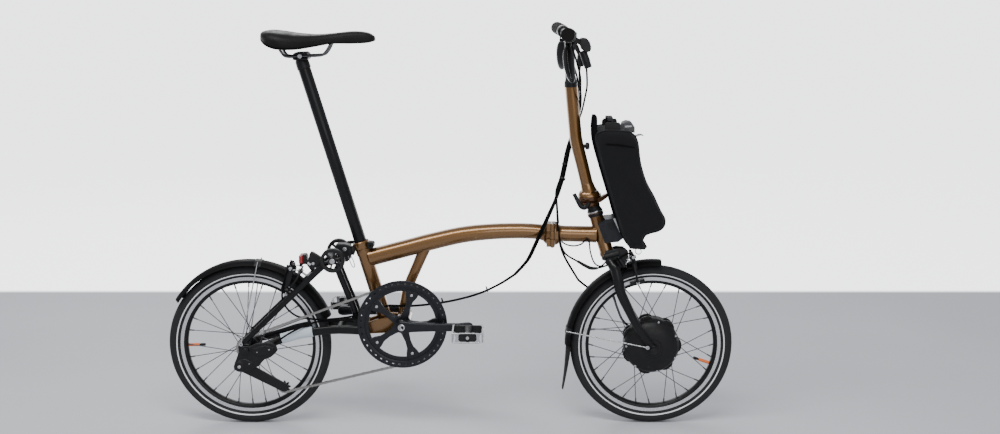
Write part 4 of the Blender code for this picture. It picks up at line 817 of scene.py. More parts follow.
def rear_axle():
    """Axle, its nuts and the mudguard held on them."""
    Build().rod(Y(REAR, -0.0748), Y(REAR, 0.0748), AXLE_R, 24).object("rear_axle_bar", SATIN, "rear_frame",
            "rear_axle")
    b = Build()
    for y in (-0.0688, 0.0624):
        s = -1 if y < 0 else 1
        b.turned(Y(REAR, y), [(0.005, 0), (0.0084, 0.0), (0.009, 0.0008), (0.009, 0.0046), (0.008, 0.0054),
                (0.005, 0.0054)], 6, across(s))
    b.object("rear_axle_nuts", SATIN, "rear_frame")
    mudguard("rear_mudguard", REAR, 20, 147, [(-0.493, 0.0275, 0.431), (-0.5345, 0.0655, 0.227)],
            "rear_frame")


def rear_light():
    """Red lens and the housing behind it."""
    b = Build().plate([(-0.389, 0.429), (-0.387, 0.427), (-0.379, 0.4265), (-0.3778, 0.4285),
            (-0.3778, 0.448), (-0.3795, 0.4498), (-0.3865, 0.4494), (-0.3888, 0.447)], -0.015, 0.015,
            0.0022)
    b.object("rear_light_lens", RED, "rear_frame", "rear_light", bevel=0.0005)
    b = Build().plate([(-0.3782, 0.4262), (-0.3705, 0.425), (-0.368, 0.429), (-0.368, 0.445),
            (-0.371, 0.45), (-0.3782, 0.45)], -0.0145, 0.0145, 0.001)
    b.plate([(-0.389, 0.417), (-0.384, 0.417), (-0.376, 0.427), (-0.389, 0.4275)], -0.006, 0.006, 0.0006)
    b.object("rear_light_housing", PLASTIC, "rear_frame")


def cable_stop():
    """Cable stop on the right seatstay and the small fittings round it."""
    b = Build().plate([(-0.3655, 0.43), (-0.359, 0.456), (-0.356, 0.46), (-0.35, 0.459), (-0.329, 0.445),
            (-0.323, 0.436), (-0.333, 0.418), (-0.344, 0.4075), (-0.356, 0.412)], -0.027, -0.011, 0.0022)
    b.rod((-0.366, -0.02, 0.438), (-0.35, -0.02, 0.414), 0.008, 24, 0.0015)
    b.object("rear_cable_stop", PLASTIC, "rear_frame")
    b = Build()
    b.rod((-0.364, -0.029, 0.433), (-0.356, -0.029, 0.427), 0.0044, 18)
    bolt(b, (-0.35, -0.0268, 0.43), (0, -1, 0), 0.0046, 0.003)
    bolt(b, (-0.344, -0.0268, 0.417), (0, -1, 0), 0.0036, 0.0026)
    b.rod((-0.489, -0.061, 0.253), (-0.476, -0.06, 0.26), 0.0034, 14)
    b.rod((-0.484, -0.061, 0.264), (-0.479, -0.06, 0.252), 0.0026, 14)
    b.object("rear_frame_fittings", STEEL, "rear_frame")


def derailleur():
    """Cover plates of the chain tensioner, its knuckle and bolts."""
    body = Build().plate([(-0.532, 0.222), (-0.512, 0.2225), (-0.498, 0.229), (-0.47, 0.233),
            (-0.452, 0.231), (-0.444, 0.224), (-0.441, 0.212), (-0.448, 0.203), (-0.46, 0.193),
            (-0.476, 0.187), (-0.483, 0.179), (-0.49, 0.17), (-0.508, 0.162), (-0.525, 0.157),
            (-0.544, 0.155), (-0.554, 0.16), (-0.555, 0.168), (-0.552, 0.179), (-0.548, 0.188),
            (-0.542, 0.204)], -0.068, -0.0622, 0.0016)
    body.plate([(-0.506, 0.217), (-0.472, 0.2255), (-0.45, 0.22), (-0.45, 0.211), (-0.47, 0.2),
            (-0.493, 0.196), (-0.508, 0.206)], -0.0702, -0.067, 0.0012)
    body.plate([(-0.542, 0.186), (-0.524, 0.19), (-0.504, 0.179), (-0.508, 0.169), (-0.53, 0.165),
            (-0.544, 0.172)], -0.07, -0.067, 0.0012)
    body.turned(Y(KNUCKLE, -0.0576), [(0.003, 0), (0.0132, 0), (0.014, 0.001), (0.014, 0.012),
            (0.012, 0.0138), (0.003, 0.0142)], 40, across(-1))
    body.rod((-0.462, -0.064, 0.215), (-0.462, -0.05, 0.215), 0.006, 20)
    body.object("derailleur_housing", SATIN, "rear_frame", "derailleur_body", bevel=0.0005)
    b = Build()
    bolt(b, Y(KNUCKLE, -0.0708), (0, -1, 0), 0.0046, 0.0028)
    bolt(b, (-0.462, -0.07, 0.2145), (0, -1, 0), 0.0022, 0.002)
    bolt(b, (-0.493, -0.07, 0.208), (0, -1, 0), 0.0018, 0.002)
    bolt(b, (-0.514, -0.0698, 0.177), (0, -1, 0), 0.0018, 0.002)
    b.object("derailleur_bolts", STEEL, "rear_frame")


def tensioner():
    """Sprung arm with round ends, its bolt and the pulley."""
    e = (PULLEY - KNUCKLE).normalized()
    n = V((-e.z, 0, e.x))
    pts = []
    for centre, r, first in ((KNUCKLE, 0.0148, 90), (PULLEY, 0.0112, -90)):
        for a in range(first, first + 181, 20):
            q = math.radians(a)
            pts.append(centre + e * (r * math.cos(q)) + n * (r * math.sin(q)))
    b = Build().plate([(p.x, p.z) for p in pts], -0.0575, -0.05, 0.0014)
    b.object("tensioner_arm_plate", SATIN, "tensioner_arm", "tensioner_arm")
    b = Build().rod(Y(PULLEY, -0.059), Y(PULLEY, -0.0412), 0.0028, 14)
    bolt(b, Y(PULLEY, -0.0568), (0, -1, 0), 0.0042, 0.0024)
    b.object("tensioner_bolt", SATIN, "tensioner_arm")
    gear(PULLEY, 8, 0.0135, 0.0032, -0.048, -0.0425, "tensioner_wheel", PLASTIC, "tensioner_pulley",
            "tensioner_pulley")


def chainstay_sleeve():
    Build().tube([(-0.434, -0.0436, 0.2362), (-0.39, -0.0403, 0.2482), (-0.354, -0.0402, 0.254)], 0.0134,
            28, flat=0.62, ref=across(1)).object("chainstay_sleeve", PALE, "rear_frame")


def calipers():
    """Brake arms keep their CAD form. Cable arms, pad bolts and springs are added."""
    for n in ("rear_caliper_right", "rear_caliper_left", "front_caliper_right", "front_caliper_left"):
        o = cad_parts[n]
        o.data.polygons.foreach_set("use_smooth", [True] * len(o.data.polygons))
        o.data.set_sharp_from_angle(angle=math.radians(40))
        dress(o, SATIN, None, bevel=0.0005)
        pre, side = n.split("_caliper_")
        s = -1 if side == "right" else 1
        hub, deg, way = (REAR, REAR_BRAKE_DEG, 1) if pre == "rear" else (FRONT, FRONT_BRAKE_DEG, -1)
        e, d = polar(V(), 1, deg), polar(V(), 1, deg + 90 * way)
        shift = -0.001 if side == "right" else 0.0042
        b = Build()
        p = hub + e * 0.1745 + across(s * 0.0352) + d * shift
        bolt(b, p, (0, s, 0), 0.0052, 0.0046)
        bolt(b, hub + e * BRAKE_BOLT_R + d * (shift + 0.002), d, 0.0062, 0.001, False)
        if pre == "rear":
            arm = [(-0.406, 0.388), (-0.401, 0.408), (-0.4075, 0.426), (-0.4165, 0.429), (-0.42, 0.42),
                    (-0.426, 0.39), (-0.433, 0.368), (-0.425, 0.362), (-0.414, 0.37)]
            x, z = -0.4085, 0.418
            spring = ((0.006, 0.03, -0.004), (0.02, 0.028, -0.006), (0.022, 0.03, -0.02))
        else:
            arm = [(0.474, 0.408), (0.48, 0.42), (0.476, 0.44), (0.47, 0.456), (0.463, 0.457),
                    (0.464, 0.44), (0.469, 0.42), (0.472, 0.406)]
            x, z = 0.469, 0.448
            spring = ((-0.004, 0.03, -0.01), (-0.016, 0.028, -0.012), (-0.018, 0.03, -0.026))
        inner, outer = (0.03, 0.0345) if side == "right" else (0.025, 0.029)
        Build().plate(arm, s * outer, s * inner, 0.0012).object(n + "_cable_arm", SATIN, n)
        b.rod((x, s * (inner - 0.002), z), (x, s * (outer + 0.003), z), 0.0044, 16)
        b.tube([(x + dx, s * y, z + dz) for dx, y, dz in spring], 0.0014, 8)
        b.object(n + "_bolts", STEEL, n)


# ---------------------------------------------------------------- chain drive
def chain_route():
    """Arcs of the chain on the chainring, the sprocket and the pulley, joined by tangents."""
    wheels = [(BB, RING_R, -0.052), (REAR, SPROCKET_R, -0.045), (PULLEY, PULLEY_R, -0.045)]
    normals = []
    for k in range(3):
        (c0, r0, _), (c1, r1, _) = wheels[k], wheels[(k + 1) % 3]
        d = c1 - c0
        L = math.hypot(d.x, d.z)
        normals.append(math.atan2(d.z, d.x) - math.acos((r0 - r1) / L))
    parts = []
    for k in range(3):
        c, r, y = wheels[k]
        a0, a1 = normals[k - 1], normals[k]
        while a1 < a0:
            a1 += 2 * math.pi
        n = max(6, int((a1 - a0) * r / 0.002))
        arc = [V((c.x + r * math.cos(a0 + (a1 - a0) * i / n), y,
                c.z + r * math.sin(a0 + (a1 - a0) * i / n))) for i in range(n + 1)]
        parts.append(arc)
    return parts


def links(name, points, body, parity=0):
    """Roller chain along points: rollers, and inner and outer plates by turns."""
    b = Build()
    dist, samples, target = 0.0, [], 0.0
    total = sum((points[i + 1] - points[i]).length for i in range(len(points) - 1))
    count = max(2, round(total / CHAIN_PITCH))
    step = total / count
    for i in range(len(points) - 1):
        seg = points[i + 1] - points[i]
        while target <= dist + seg.length + 1e-9:
            samples.append(points[i] + seg * ((target - dist) / max(seg.length, 1e-9)))
            target += step
        dist += seg.length
    if len(samples) < count + 1:
        samples.append(points[-1])
    for i, p in enumerate(samples[:-1]):
        q = samples[i + 1]
        t = (q - p).normalized()
        up = across(1).cross(t).normalized()
        side = t.cross(up)
        off = 0.003 if (i + parity) % 2 else 0.0019
        for s in SIDES:
            y = side * (s * off)
            ring = []
            for end, first, bow in ((p, 150, -0.003), (q, -30, 0.003)):
                for a in range(first, first + 61, 30):
                    turn = math.radians(a)
                    ring.append(end + t * (LINK_R * math.cos(turn)) + up * (LINK_R * math.sin(turn)))
                ring.append((p + q) / 2 + up * bow)
            h = side * (s * LINK_HALF_THICK)
            b.rings([[v + y - h for v in ring], [v + y + h for v in ring]])
        b.rod(p - side * 0.0034, p + side * 0.0034, ROLLER_R, 8)
    return b.object(name, CHAINM, body)


def chain():
    """Chain on its three wheels and in straight runs. The top and low runs are parented to neither frame.
    """
    arc_ring, arc_rear, arc_pulley = chain_route()
    first = links("chain_on_ring", arc_ring, "main_frame")
    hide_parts("chain")
    links("chain_on_sprocket", arc_rear, "rear_frame")
    links("chain_on_pulley", arc_pulley, "rear_frame")
    ends = [(arc_ring[-1], arc_rear[0], "chain_top_run"), (arc_rear[-1], arc_pulley[0], "chain_back_run"),
            (arc_pulley[-1], arc_ring[0], "chain_low_run")]
    for a, b, name in ends:
        pts = [a.lerp(b, k / 40) for k in range(41)]
        if name == "chain_back_run":
            links(name, pts, "rear_frame", 1)
            continue
        o = links(name, pts, None, 1)
        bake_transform(o)


def chainring():
    """Teeth, double guard with its slots, spider and bolts."""
    gear(BB, 52, RING_R, 0.09, -0.053, -0.0505, "chainring_teeth", GREY, "crankset")
    b = Build()
    b.turned(BB, [(0.0862, -0.0556), (0.087, -0.049), (0.0985, -0.049), (0.099, -0.05), (0.099, -0.056)],
            128)
    b.turned(BB, [(0.096, -0.0585), (0.0985, -0.0565), (0.1046, -0.0566), (0.1046, -0.06), (0.0985, -0.06)],
            128)
    b.turned(BB, [(0.1076, -0.057), (0.114, -0.0574), (0.115, -0.058), (0.115, -0.0592), (0.114, -0.06),
            (0.1076, -0.06)], 128)
    for k in range(40):
        e, t = polar(V(), 1, 9.0 * k), polar(V(), 1, 9.0 * k + 90)
        b.rings([[BB + e * r + t * (w * 0.0058) + across(y) for w, y in ((-1, -0.0598), (1, -0.0598),
                (1, -0.057), (-1, -0.057))] for r in (0.103, 0.109)])
    for k in range(5):
        a = 72.0 * k
        e, t = polar(V(), 1, a), polar(V(), 1, a + 90)
        rows = []
        for r, w, y0, y1 in ((0.015, 0.0125, -0.06, -0.052), (0.026, 0.0095, -0.0605, -0.053),
                (0.046, 0.007, -0.06, -0.054), (0.064, 0.0085, -0.0595, -0.053),
                (0.078, 0.015, -0.059, -0.052), (0.09, 0.0175, -0.0585, -0.051)):
            p = BB + e * r
            rows.append([p + t * w + across(y0 + 0.001), p + t * (w - 0.0012) + across(y0),
                    p - t * (w - 0.0012) + across(y0), p - t * w + across(y0 + 0.001),
                    p - t * w + across(y1), p + t * w + across(y1)])
        b.rings(rows)
    b.turned(BB, [(0.0086, -0.06), (0.022, -0.06), (0.0232, -0.059), (0.0232, -0.05), (0.02, -0.048),
            (0.0086, -0.048)], 48)
    b.object("chainring_spider", GREY, "crankset", "chainring", bevel=0.0004)
    b = Build()
    for k in range(5):
        p = polar(BB, 0.08, 72.0 * k)
        bolt(b, Y(p, -0.059), (0, -1, 0), 0.0036, 0.0024, False)
    b.object("chainring_bolts", STEEL, "crankset")


def cranks():
    def crank(s, d):
        """Arm on the side s that points along d, and the middle of its pedal eye."""
        rows = []
        for f, h, y0, y1 in ((-0.075, 0.006, 0.07, 0.086), (-0.06, 0.012, 0.069, 0.088),
                (0.0, 0.0168, 0.068, 0.0898), (0.07, 0.016, 0.07, 0.0905), (0.16, 0.0128, 0.0765, 0.0915),
                (0.45, 0.0108, 0.079, 0.092), (0.85, 0.0102, 0.0792, 0.092), (0.95, 0.0122, 0.0786, 0.092),
                (1.0, 0.0126, 0.0784, 0.092), (1.05, 0.01, 0.0786, 0.0918), (1.07, 0.005, 0.0796, 0.0905)):
            x = BB.x + d * CRANK_LENGTH * f
            ring = []
            for a in range(0, 360, 20):
                q = math.radians(a)
                cy, cz = math.cos(q), math.sin(q)
                ky = math.copysign(abs(cy) ** 0.55, cy)
                kz = math.copysign(abs(cz) ** 0.55, cz)
                ring.append(V((x, s * ((y0 + y1) / 2 + ky * (y1 - y0) / 2), BB.z + kz * h)))
            rows.append(ring)
        return Build().rings(rows), V((BB.x + d * CRANK_LENGTH, 0, BB.z))

    b, eye = crank(-1, 1)
    b.turned(Y(BB, -0.0604), [(0.0082, 0), (0.016, 0), (0.0165, 0.004), (0.0165, 0.02), (0.0082, 0.02)], 40,
            across(-1))
    b.object("right_crank_arm", GREY, "crankset", "right_crank", sharp=50)
    b, eye2 = crank(1, -1)
    b.turned(Y(BB, 0.038), [(0.0082, 0), (0.014, 0), (0.015, 0.004), (0.015, 0.04), (0.0082, 0.04)], 40,
            across(1))
    b.object("left_crank_arm", GREY, "crankset", "left_crank", sharp=50)
    b = Build().rod(Y(BB, -0.087), Y(BB, 0.08), 0.0078, 28)
    b.rod(Y(eye, -0.088), Y(eye, -0.19), 0.0045, 20)
    b.rod(Y(eye2, 0.088), Y(eye2, 0.0998), 0.0058, 20)
    for s in SIDES:
        b.turned(Y(BB, s * 0.0888), [(0.0012, 0), (0.0082, 0), (0.0088, 0.0008), (0.0088, 0.0026),
                (0.006, 0.0034), (0.005, 0.001), (0.0012, 0.0008)], 28, across(s))
    b.object("crank_spindle", STEEL, "crankset")


def pedals():
    def pedal(prefix, c, y0, y1):
        """Pedal round the point c, from y0 at the crank to y1."""
        body = prefix + "_pedal"

        def along(f):
            return y0 + (y1 - y0) * f

        def around(points):
            return [(c.x + x, c.z + z) for x, z in points]

        b = Build()
        b.turned((c.x, 0, c.z), [(0.0052, y0 + 0.002 * (1 if y1 > y0 else -1)), (0.0105, along(0.06)),
                (0.012, along(0.14)), (0.009, (y0 + y1) / 2), (0.012, along(0.84)),
                (0.011, y1 - (y1 - y0) * 0.05), (0.0052, y1 - (y1 - y0) * 0.03)], 28)
        b.object(body + "_barrel", PLASTIC, body, body)
        b = Build()
        teeth = 14
        for s in SIDES:
            for z in (-0.0105, 0.0105):
                pts = []
                for k in range(teeth + 1):
                    bow = 0.004 * math.sin(math.pi * k / teeth)
                    pts.append(V((c.x + s * (0.0345 + bow), along(0.04 + 0.92 * k / teeth), c.z + z)))
                b.tube(pts, 0.0016, 8, smooth=False)
                for p in pts[1:teeth:2]:
                    b.turned(p, [(0.0018, 0), (0.0004, 0.0022)], 6, (0, 0, math.copysign(1, z)),
                            closed=False)
            b.plate(around([(s * 0.035, -0.0118), (s * 0.0392, -0.0118), (s * 0.0392, 0.0118),
                    (s * 0.035, 0.0118)]), along(0.06), along(0.94), 0.001)
        for z in (-0.0105, 0.0105):
            y = along(0.975)
            b.tube([(c.x - 0.037, y, c.z + z), (c.x - 0.02, y, c.z + z * 1.15),
                    (c.x + 0.02, y, c.z + z * 1.15), (c.x + 0.037, y, c.z + z)], 0.0016, 8)
        for x in (-0.026, 0.026):
            b.plate(around([(x - 0.0055, -0.0115), (x + 0.0055, -0.0115), (x + 0.003, 0),
                    (x + 0.0055, 0.0115), (x - 0.0055, 0.0115), (x - 0.003, 0)]), along(0.955),
                    along(0.985), 0.0006)
        b.object(body + "_cage", STEEL, body, bevel=0.0003)
        b = Build()
        for f0, f1, k in ((0.02, 0.09, 1.0), (0.9, 0.95, 0.62)):
            b.plate(around([(-0.036 * k, -0.005), (-0.031 * k, -0.01), (0.031 * k, -0.01),
                    (0.036 * k, -0.005), (0.036 * k, 0.005), (0.031 * k, 0.01), (-0.031 * k, 0.01),
                    (-0.036 * k, 0.005)]), along(f0), along(f1), 0.001)
        b.object(body + "_ends", PLASTIC, body)

    pedal("right", V((0.0485, 0, 0.278)), -0.1, -0.193)
    pedal("left", V((-0.2915, 0, 0.278)), 0.1325, 0.198)
    dress(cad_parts["left_pedal_hinge"], SATIN, None, bevel=0.0008)
    Build().rod((-0.2915, 0.115, 0.278), (-0.2915, 0.138, 0.278), 0.005,
            16).object("left_pedal_tongue", SATIN, "left_pedal")


# ---------------------------------------------------------------- front frame
def front_tube():
    """Front tube with the front half of the main hinge, and the head tube."""
    b = Build().tube([(0.274, 0, 0.5046), (0.285, 0, 0.5042), (0.3, 0, 0.5035), (0.33, 0, 0.5028),
            (0.3603, 0, 0.502), (0.376, 0, 0.5018)], [0.024, 0.0205, 0.0205, 0.0206, 0.021, 0.0222], 48)
    hinge_block(b, 0.283, 0.2623)
    b.rod((HINGE_X, HINGE_PIN_Y, 0.4961), (HINGE_X, HINGE_PIN_Y, 0.5159), 0.0066, 24, 0.0006)
    b.plate([(0.262, 0.4961), (0.277, 0.4961), (0.277, 0.5159), (0.262, 0.5159)], -0.039, -0.024)
    b.object("front_tube_body", BRONZE, "front_frame", "front_tube", bevel=0.0004)
    Build().turned(HEAD_TOP, [(0.0132, 0.0), (0.0186, 0.0), (0.019, 0.001), (0.019, 0.01), (0.0178, 0.012),
            (0.0176, 0.104), (0.019, 0.106), (0.019, 0.115), (0.0186, 0.116), (0.0132, 0.116)], 56,
            HEAD_DOWN).object("head_tube_body", BRONZE, "front_frame", "head_tube")


def carrier():
    """The CAD block with silver trim and a panel on each side."""
    dress(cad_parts["carrier_block"], GREY, None, bevel=0.0025)
    b = Build()
    for s in SIDES:
        b.plate([(0.4158, 0.549), (0.4218, 0.55), (0.4385, 0.515), (0.433, 0.5126)], s * 0.0338, s * 0.035,
                0.0003)
    b.object("carrier_trim", TRACK, "front_frame")
    b = Build()
    for s in SIDES:
        b.plate([(0.401, 0.538), (0.414, 0.5425), (0.423, 0.524), (0.41, 0.5185)], s * 0.0336, s * 0.0346,
                0.0006)
        bolt(b, (0.396, s * 0.0338, 0.502), (0, s, 0), 0.0036, 0.0016)
    b.object("carrier_panel", SATIN, "front_frame")


def fork():
    b = Build()
    top = head_axis(0.1285)
    b.tube([Y(top, -0.04), Y(top, -0.02), Y(top, 0.0), Y(top, 0.02), Y(top, 0.04)],
            [0.0118, 0.0122, 0.0128, 0.0122, 0.0118], 32)
    for s in SIDES:
        blade = [(0.4094, 0.029, 0.438), (0.415, 0.0345, 0.431), (0.4231, 0.044, 0.4189),
                (0.429, 0.049, 0.395), (0.4355, 0.052, 0.3653), (0.445, 0.0538, 0.341),
                (0.458, 0.0555, 0.3149), (0.4729, 0.057, 0.2851), (0.486, 0.0578, 0.263),
                (0.5002, 0.0585, 0.2428), (0.52, 0.059, 0.216)]
        b.tube([(x, s * y, z) for x, y, z in blade], [0.0118, 0.0128, 0.0134, 0.0134, 0.013, 0.0126, 0.0118,
                0.0108, 0.01, 0.0094, 0.0082], 36)
        b.turned(Y(FRONT, s * 0.0515), [(0.0053, 0), (0.0112, 0), (0.012, 0.001), (0.012, 0.015),
                (0.011, 0.0158), (0.0053, 0.0158)], 40, across(s))
    b.turned(HEAD_TOP, [(0.003, 0.129), (0.0168, 0.1266), (0.0172, 0.125), (0.0172, 0.118), (0.016, 0.1168),
            (0.0125, 0.1166)], 48, HEAD_DOWN, closed=False)
    b.object("fork_blades", BLACK, "fork", "fork", sharp=50)


def steering_head():
    """Steering clamp, headset washer and headset cup."""
    b = Build()
    b.turned(HEAD_TOP, [(0.012, -0.003), (0.0186, -0.0012), (0.019, -0.003), (0.0184, -0.008),
            (0.017, -0.009), (0.0168, -0.014), (0.0176, -0.015), (0.0176, -0.03), (0.0168, -0.031),
            (0.012, -0.031)], 56, HEAD_DOWN)
    b.object("steering_clamp", SATIN, "fork")
    Build().turned(HEAD_TOP, [(0.0125, -0.0012), (0.02, -0.001), (0.0206, -0.0022), (0.02, -0.0042),
            (0.0125, -0.0046)], 56, HEAD_DOWN).object("headset_washer", STEEL, "fork")
    Build().turned(HEAD_TOP, [(0.018, 0.001), (0.02, 0.0012), (0.0206, 0.0024), (0.0206, 0.0074),
            (0.0196, 0.009), (0.018, 0.0094)], 56, HEAD_DOWN).object("headset_cup", SATIN, "front_frame")


def crown():
    """Bolts and housings round the fork crown."""
    b = Build()
    for s in SIDES:
        p = head_axis(-0.0225) + V((-0.017, s * 0.007, -0.004))
        bolt(b, p, (0, s, 0), 0.0042, 0.004)
    c, d = polar(FRONT, BRAKE_BOLT_R, FRONT_BRAKE_DEG), polar(V(), 1.0, FRONT_BRAKE_DEG - 90)
    b.rod(c - d * 0.058, c + d * 0.008, 0.0028, 14)
    bolt(b, c + d * 0.007, d, 0.005, 0.0034)
    b.rod((0.413, -0.034, 0.4335), (0.413, -0.0372, 0.4335), 0.004, 16)
    b.rod((0.44, -0.033, 0.431), (0.447, -0.033, 0.422), 0.0026, 14)
    b.rod((0.452, -0.033, 0.444), (0.459, -0.033, 0.437), 0.0022, 14)
    b.tube([(0.44, -0.026, 0.464), (0.45, -0.03, 0.456), (0.455, -0.03, 0.446)], 0.0016, 8)
    b.object("fork_bolts", STEEL, "fork")
    b = Build()
    b.plate([(0.399, 0.464), (0.43, 0.47), (0.448, 0.472), (0.456, 0.464), (0.457, 0.448), (0.45, 0.43),
            (0.442, 0.42), (0.42, 0.422), (0.401, 0.433), (0.392, 0.448)], -0.033, -0.0235, 0.002)
    b.rod((0.395, -0.03, 0.448), (0.433, -0.03, 0.46), 0.0072, 20, 0.0012)
    b.rod((0.43, -0.031, 0.45), (0.448, -0.031, 0.422), 0.0062, 20, 0.0012)
    b.rod((0.438, 0.03, 0.46), (0.446, 0.03, 0.424), 0.008, 20, 0.0012)
    b.plate([(0.399, 0.456), (0.43, 0.466), (0.45, 0.464), (0.454, 0.444), (0.43, 0.43), (0.404, 0.436)],
            0.0235, 0.033, 0.002)
    b.object("crown_fittings", PLASTIC, "fork")


def front_mudguard():
    """Front mudguard and the rubber flap at its end."""
    mudguard("front_mudguard", FRONT, 84.5, 180, [(0.3045, 0.0275, 0.25), (0.506, 0.0715, 0.22)], "fork")
    rows = []
    for k in range(13):
        f = k / 12
        z = 0.212 - 0.124 * f
        x = 0.2995 - 0.0016 * f - 0.007 * f * f
        w = 0.0262 - 0.0095 * f ** 1.6
        sweep = 0.002 + 0.012 * (1 - f) ** 1.1
        rows.append([V((x - 0.001 + sweep * g * g, g * w, z)) for g in (-1, -0.6, 0, 0.6, 1)]
                + [V((x + 0.001 + sweep * g * g, g * w, z)) for g in (1, 0.6, 0, -0.6, -1)])
    Build().rings(rows).object("mud_flap_rubber", RUBBER, "fork", "mud_flap", sub=1)


POST_PATH = [(0.3572, 0, 0.61), (0.35, 0, 0.635), (0.3412, 0, 0.67), (0.333, 0, 0.702), (0.3262, 0, 0.728),
        (0.321, 0, 0.752), (0.3185, 0, 0.775), (0.315, 0, 0.81), (0.3108, 0, 0.8527), (0.3074, 0, 0.89)]
BAR_MID = V((0.3018, 0, 1.0069))
BAR_PATH = [(0.2835, -0.283, 1.0195), (0.29, -0.21, 1.0165), (0.296, -0.13, 1.012), (0.3018, -0.04, 1.0069),
        (0.3018, 0.04, 1.0069), (0.296, 0.13, 1.012), (0.29, 0.21, 1.0165), (0.2835, 0.283, 1.0195)]
BAR_R = [0.011, 0.011, 0.0112, 0.0127, 0.0127, 0.0112, 0.011, 0.011]


POST_PIN = V((0, 0.027, 0.6))


def post_plate(b, z0, z1, k0, k1):
    """Half of the handlepost hinge between two heights, scaled k0 below and k1 above."""
    outline = [(0.33, -0.012), (0.333, -0.0175), (0.338, -0.021), (0.346, -0.0233), (0.354, -0.024),
            (0.363, -0.0232), (0.37, -0.021), (0.3765, -0.0165), (0.381, -0.01), (0.3845, -0.001),
            (0.386, 0.009), (0.386, 0.025), (0.335, 0.025), (0.33, 0.018), (0.329, 0.005)]
    c = V((0.357, 0.002, 0))
    rows = []
    for z, k in ((z0, k0), (z0 + (z1 - z0) * 0.25, (k0 + 1) / 2 + 0.02),
            (z0 + (z1 - z0) * 0.75, (k1 + 1) / 2 + 0.02), (z1, k1)):
        rows.append([V((c.x + (x - c.x) * min(k, 1), c.y + (y - c.y) * min(k, 1), z)) for x, y in outline])
    return b.rings(rows)


def post_hinge():
    """Lower half of the handlepost hinge and its pin."""
    b = Build()
    post_plate(b, 0.585, 0.5996, 0.72, 1.0)
    for x0, x1 in ((0.333, 0.348), (0.373, 0.388)):
        b.rod((x0, POST_PIN.y, POST_PIN.z), (x1, POST_PIN.y, POST_PIN.z), 0.0056, 24, 0.0006)
    b.rings([[V((x, y, z)) for y, z in ((-w, z0), (w, z0), (w, z1), (-w, z1))]
            for x, w, z0, z1 in ((0.378, 0.013, 0.586, 0.5985), (0.386, 0.011, 0.587, 0.6),
            (0.394, 0.009, 0.5925, 0.6045), (0.401, 0.008, 0.5975, 0.6075), (0.404, 0.006, 0.6005, 0.607))])
    b.turned((0.3565, 0, 0.5745), [(0.0185, 0), (0.0235, 0.003), (0.0262, 0.008), (0.0268, 0.0125),
            (0.0185, 0.0125)], 44, (0, 0, 1))
    # The lower hinge takes the darker copy of the bronze: painted shade.
    b.object("post_hinge_lower", SHADED_BRONZE, "fork", bevel=0.0005)
    b = Build().rod((0.331, POST_PIN.y, POST_PIN.z), (0.3892, POST_PIN.y, POST_PIN.z), 0.0026, 16)
    b.turned((0.3872, POST_PIN.y, POST_PIN.z), [(0.0015, 0), (0.0046, 0), (0.0046, 0.0018),
            (0.0015, 0.0024)], 24, (1, 0, 0))
    b.object("post_hinge_pin", SATIN, "fork")


def handlepost():
    """Post with the upper half of its hinge, catch knob and clamp lever."""
    b = Build()
    post_plate(b, 0.6004, 0.615, 1.0, 0.74)
    b.rod((0.3484, POST_PIN.y, POST_PIN.z), (0.3726, POST_PIN.y, POST_PIN.z), 0.0056, 24, 0.0006)
    b.tube([(0.356, 0, 0.613), (0.3535, 0, 0.623), (0.35, 0, 0.635)], [0.0215, 0.018, 0.0161], 44)
    b.tube(POST_PATH, 0.016, 48)
    b.object("handlepost_tube", BRONZE, "handlepost", "handlepost", bevel=0.0004)
    b = Build().rod((0.3385, 0, 0.7295), (0.348, 0, 0.73), 0.005, 20)
    b.turned((0.3455, 0, 0.73), [(0.001, 0), (0.008, 0.0006), (0.0092, 0.0024), (0.009, 0.008),
            (0.006, 0.0106), (0.001, 0.011)], 28, (1, 0, 0.02))
    b.object("post_catch_knob", PLASTIC, "handlepost")
    Build().tube([(0.355, -0.033, 0.59), (0.35, -0.0333, 0.582), (0.343, -0.0335, 0.577),
            (0.335, -0.0333, 0.5795), (0.329, -0.0328, 0.588), (0.322, -0.0315, 0.601),
            (0.316, -0.0305, 0.612)], [0.0052, 0.006, 0.0064, 0.0063, 0.0058, 0.0053, 0.0048], 20,
            flat=0.6).object("handlepost_lever_blade", BLACK, "handlepost_lever", "handlepost_lever")


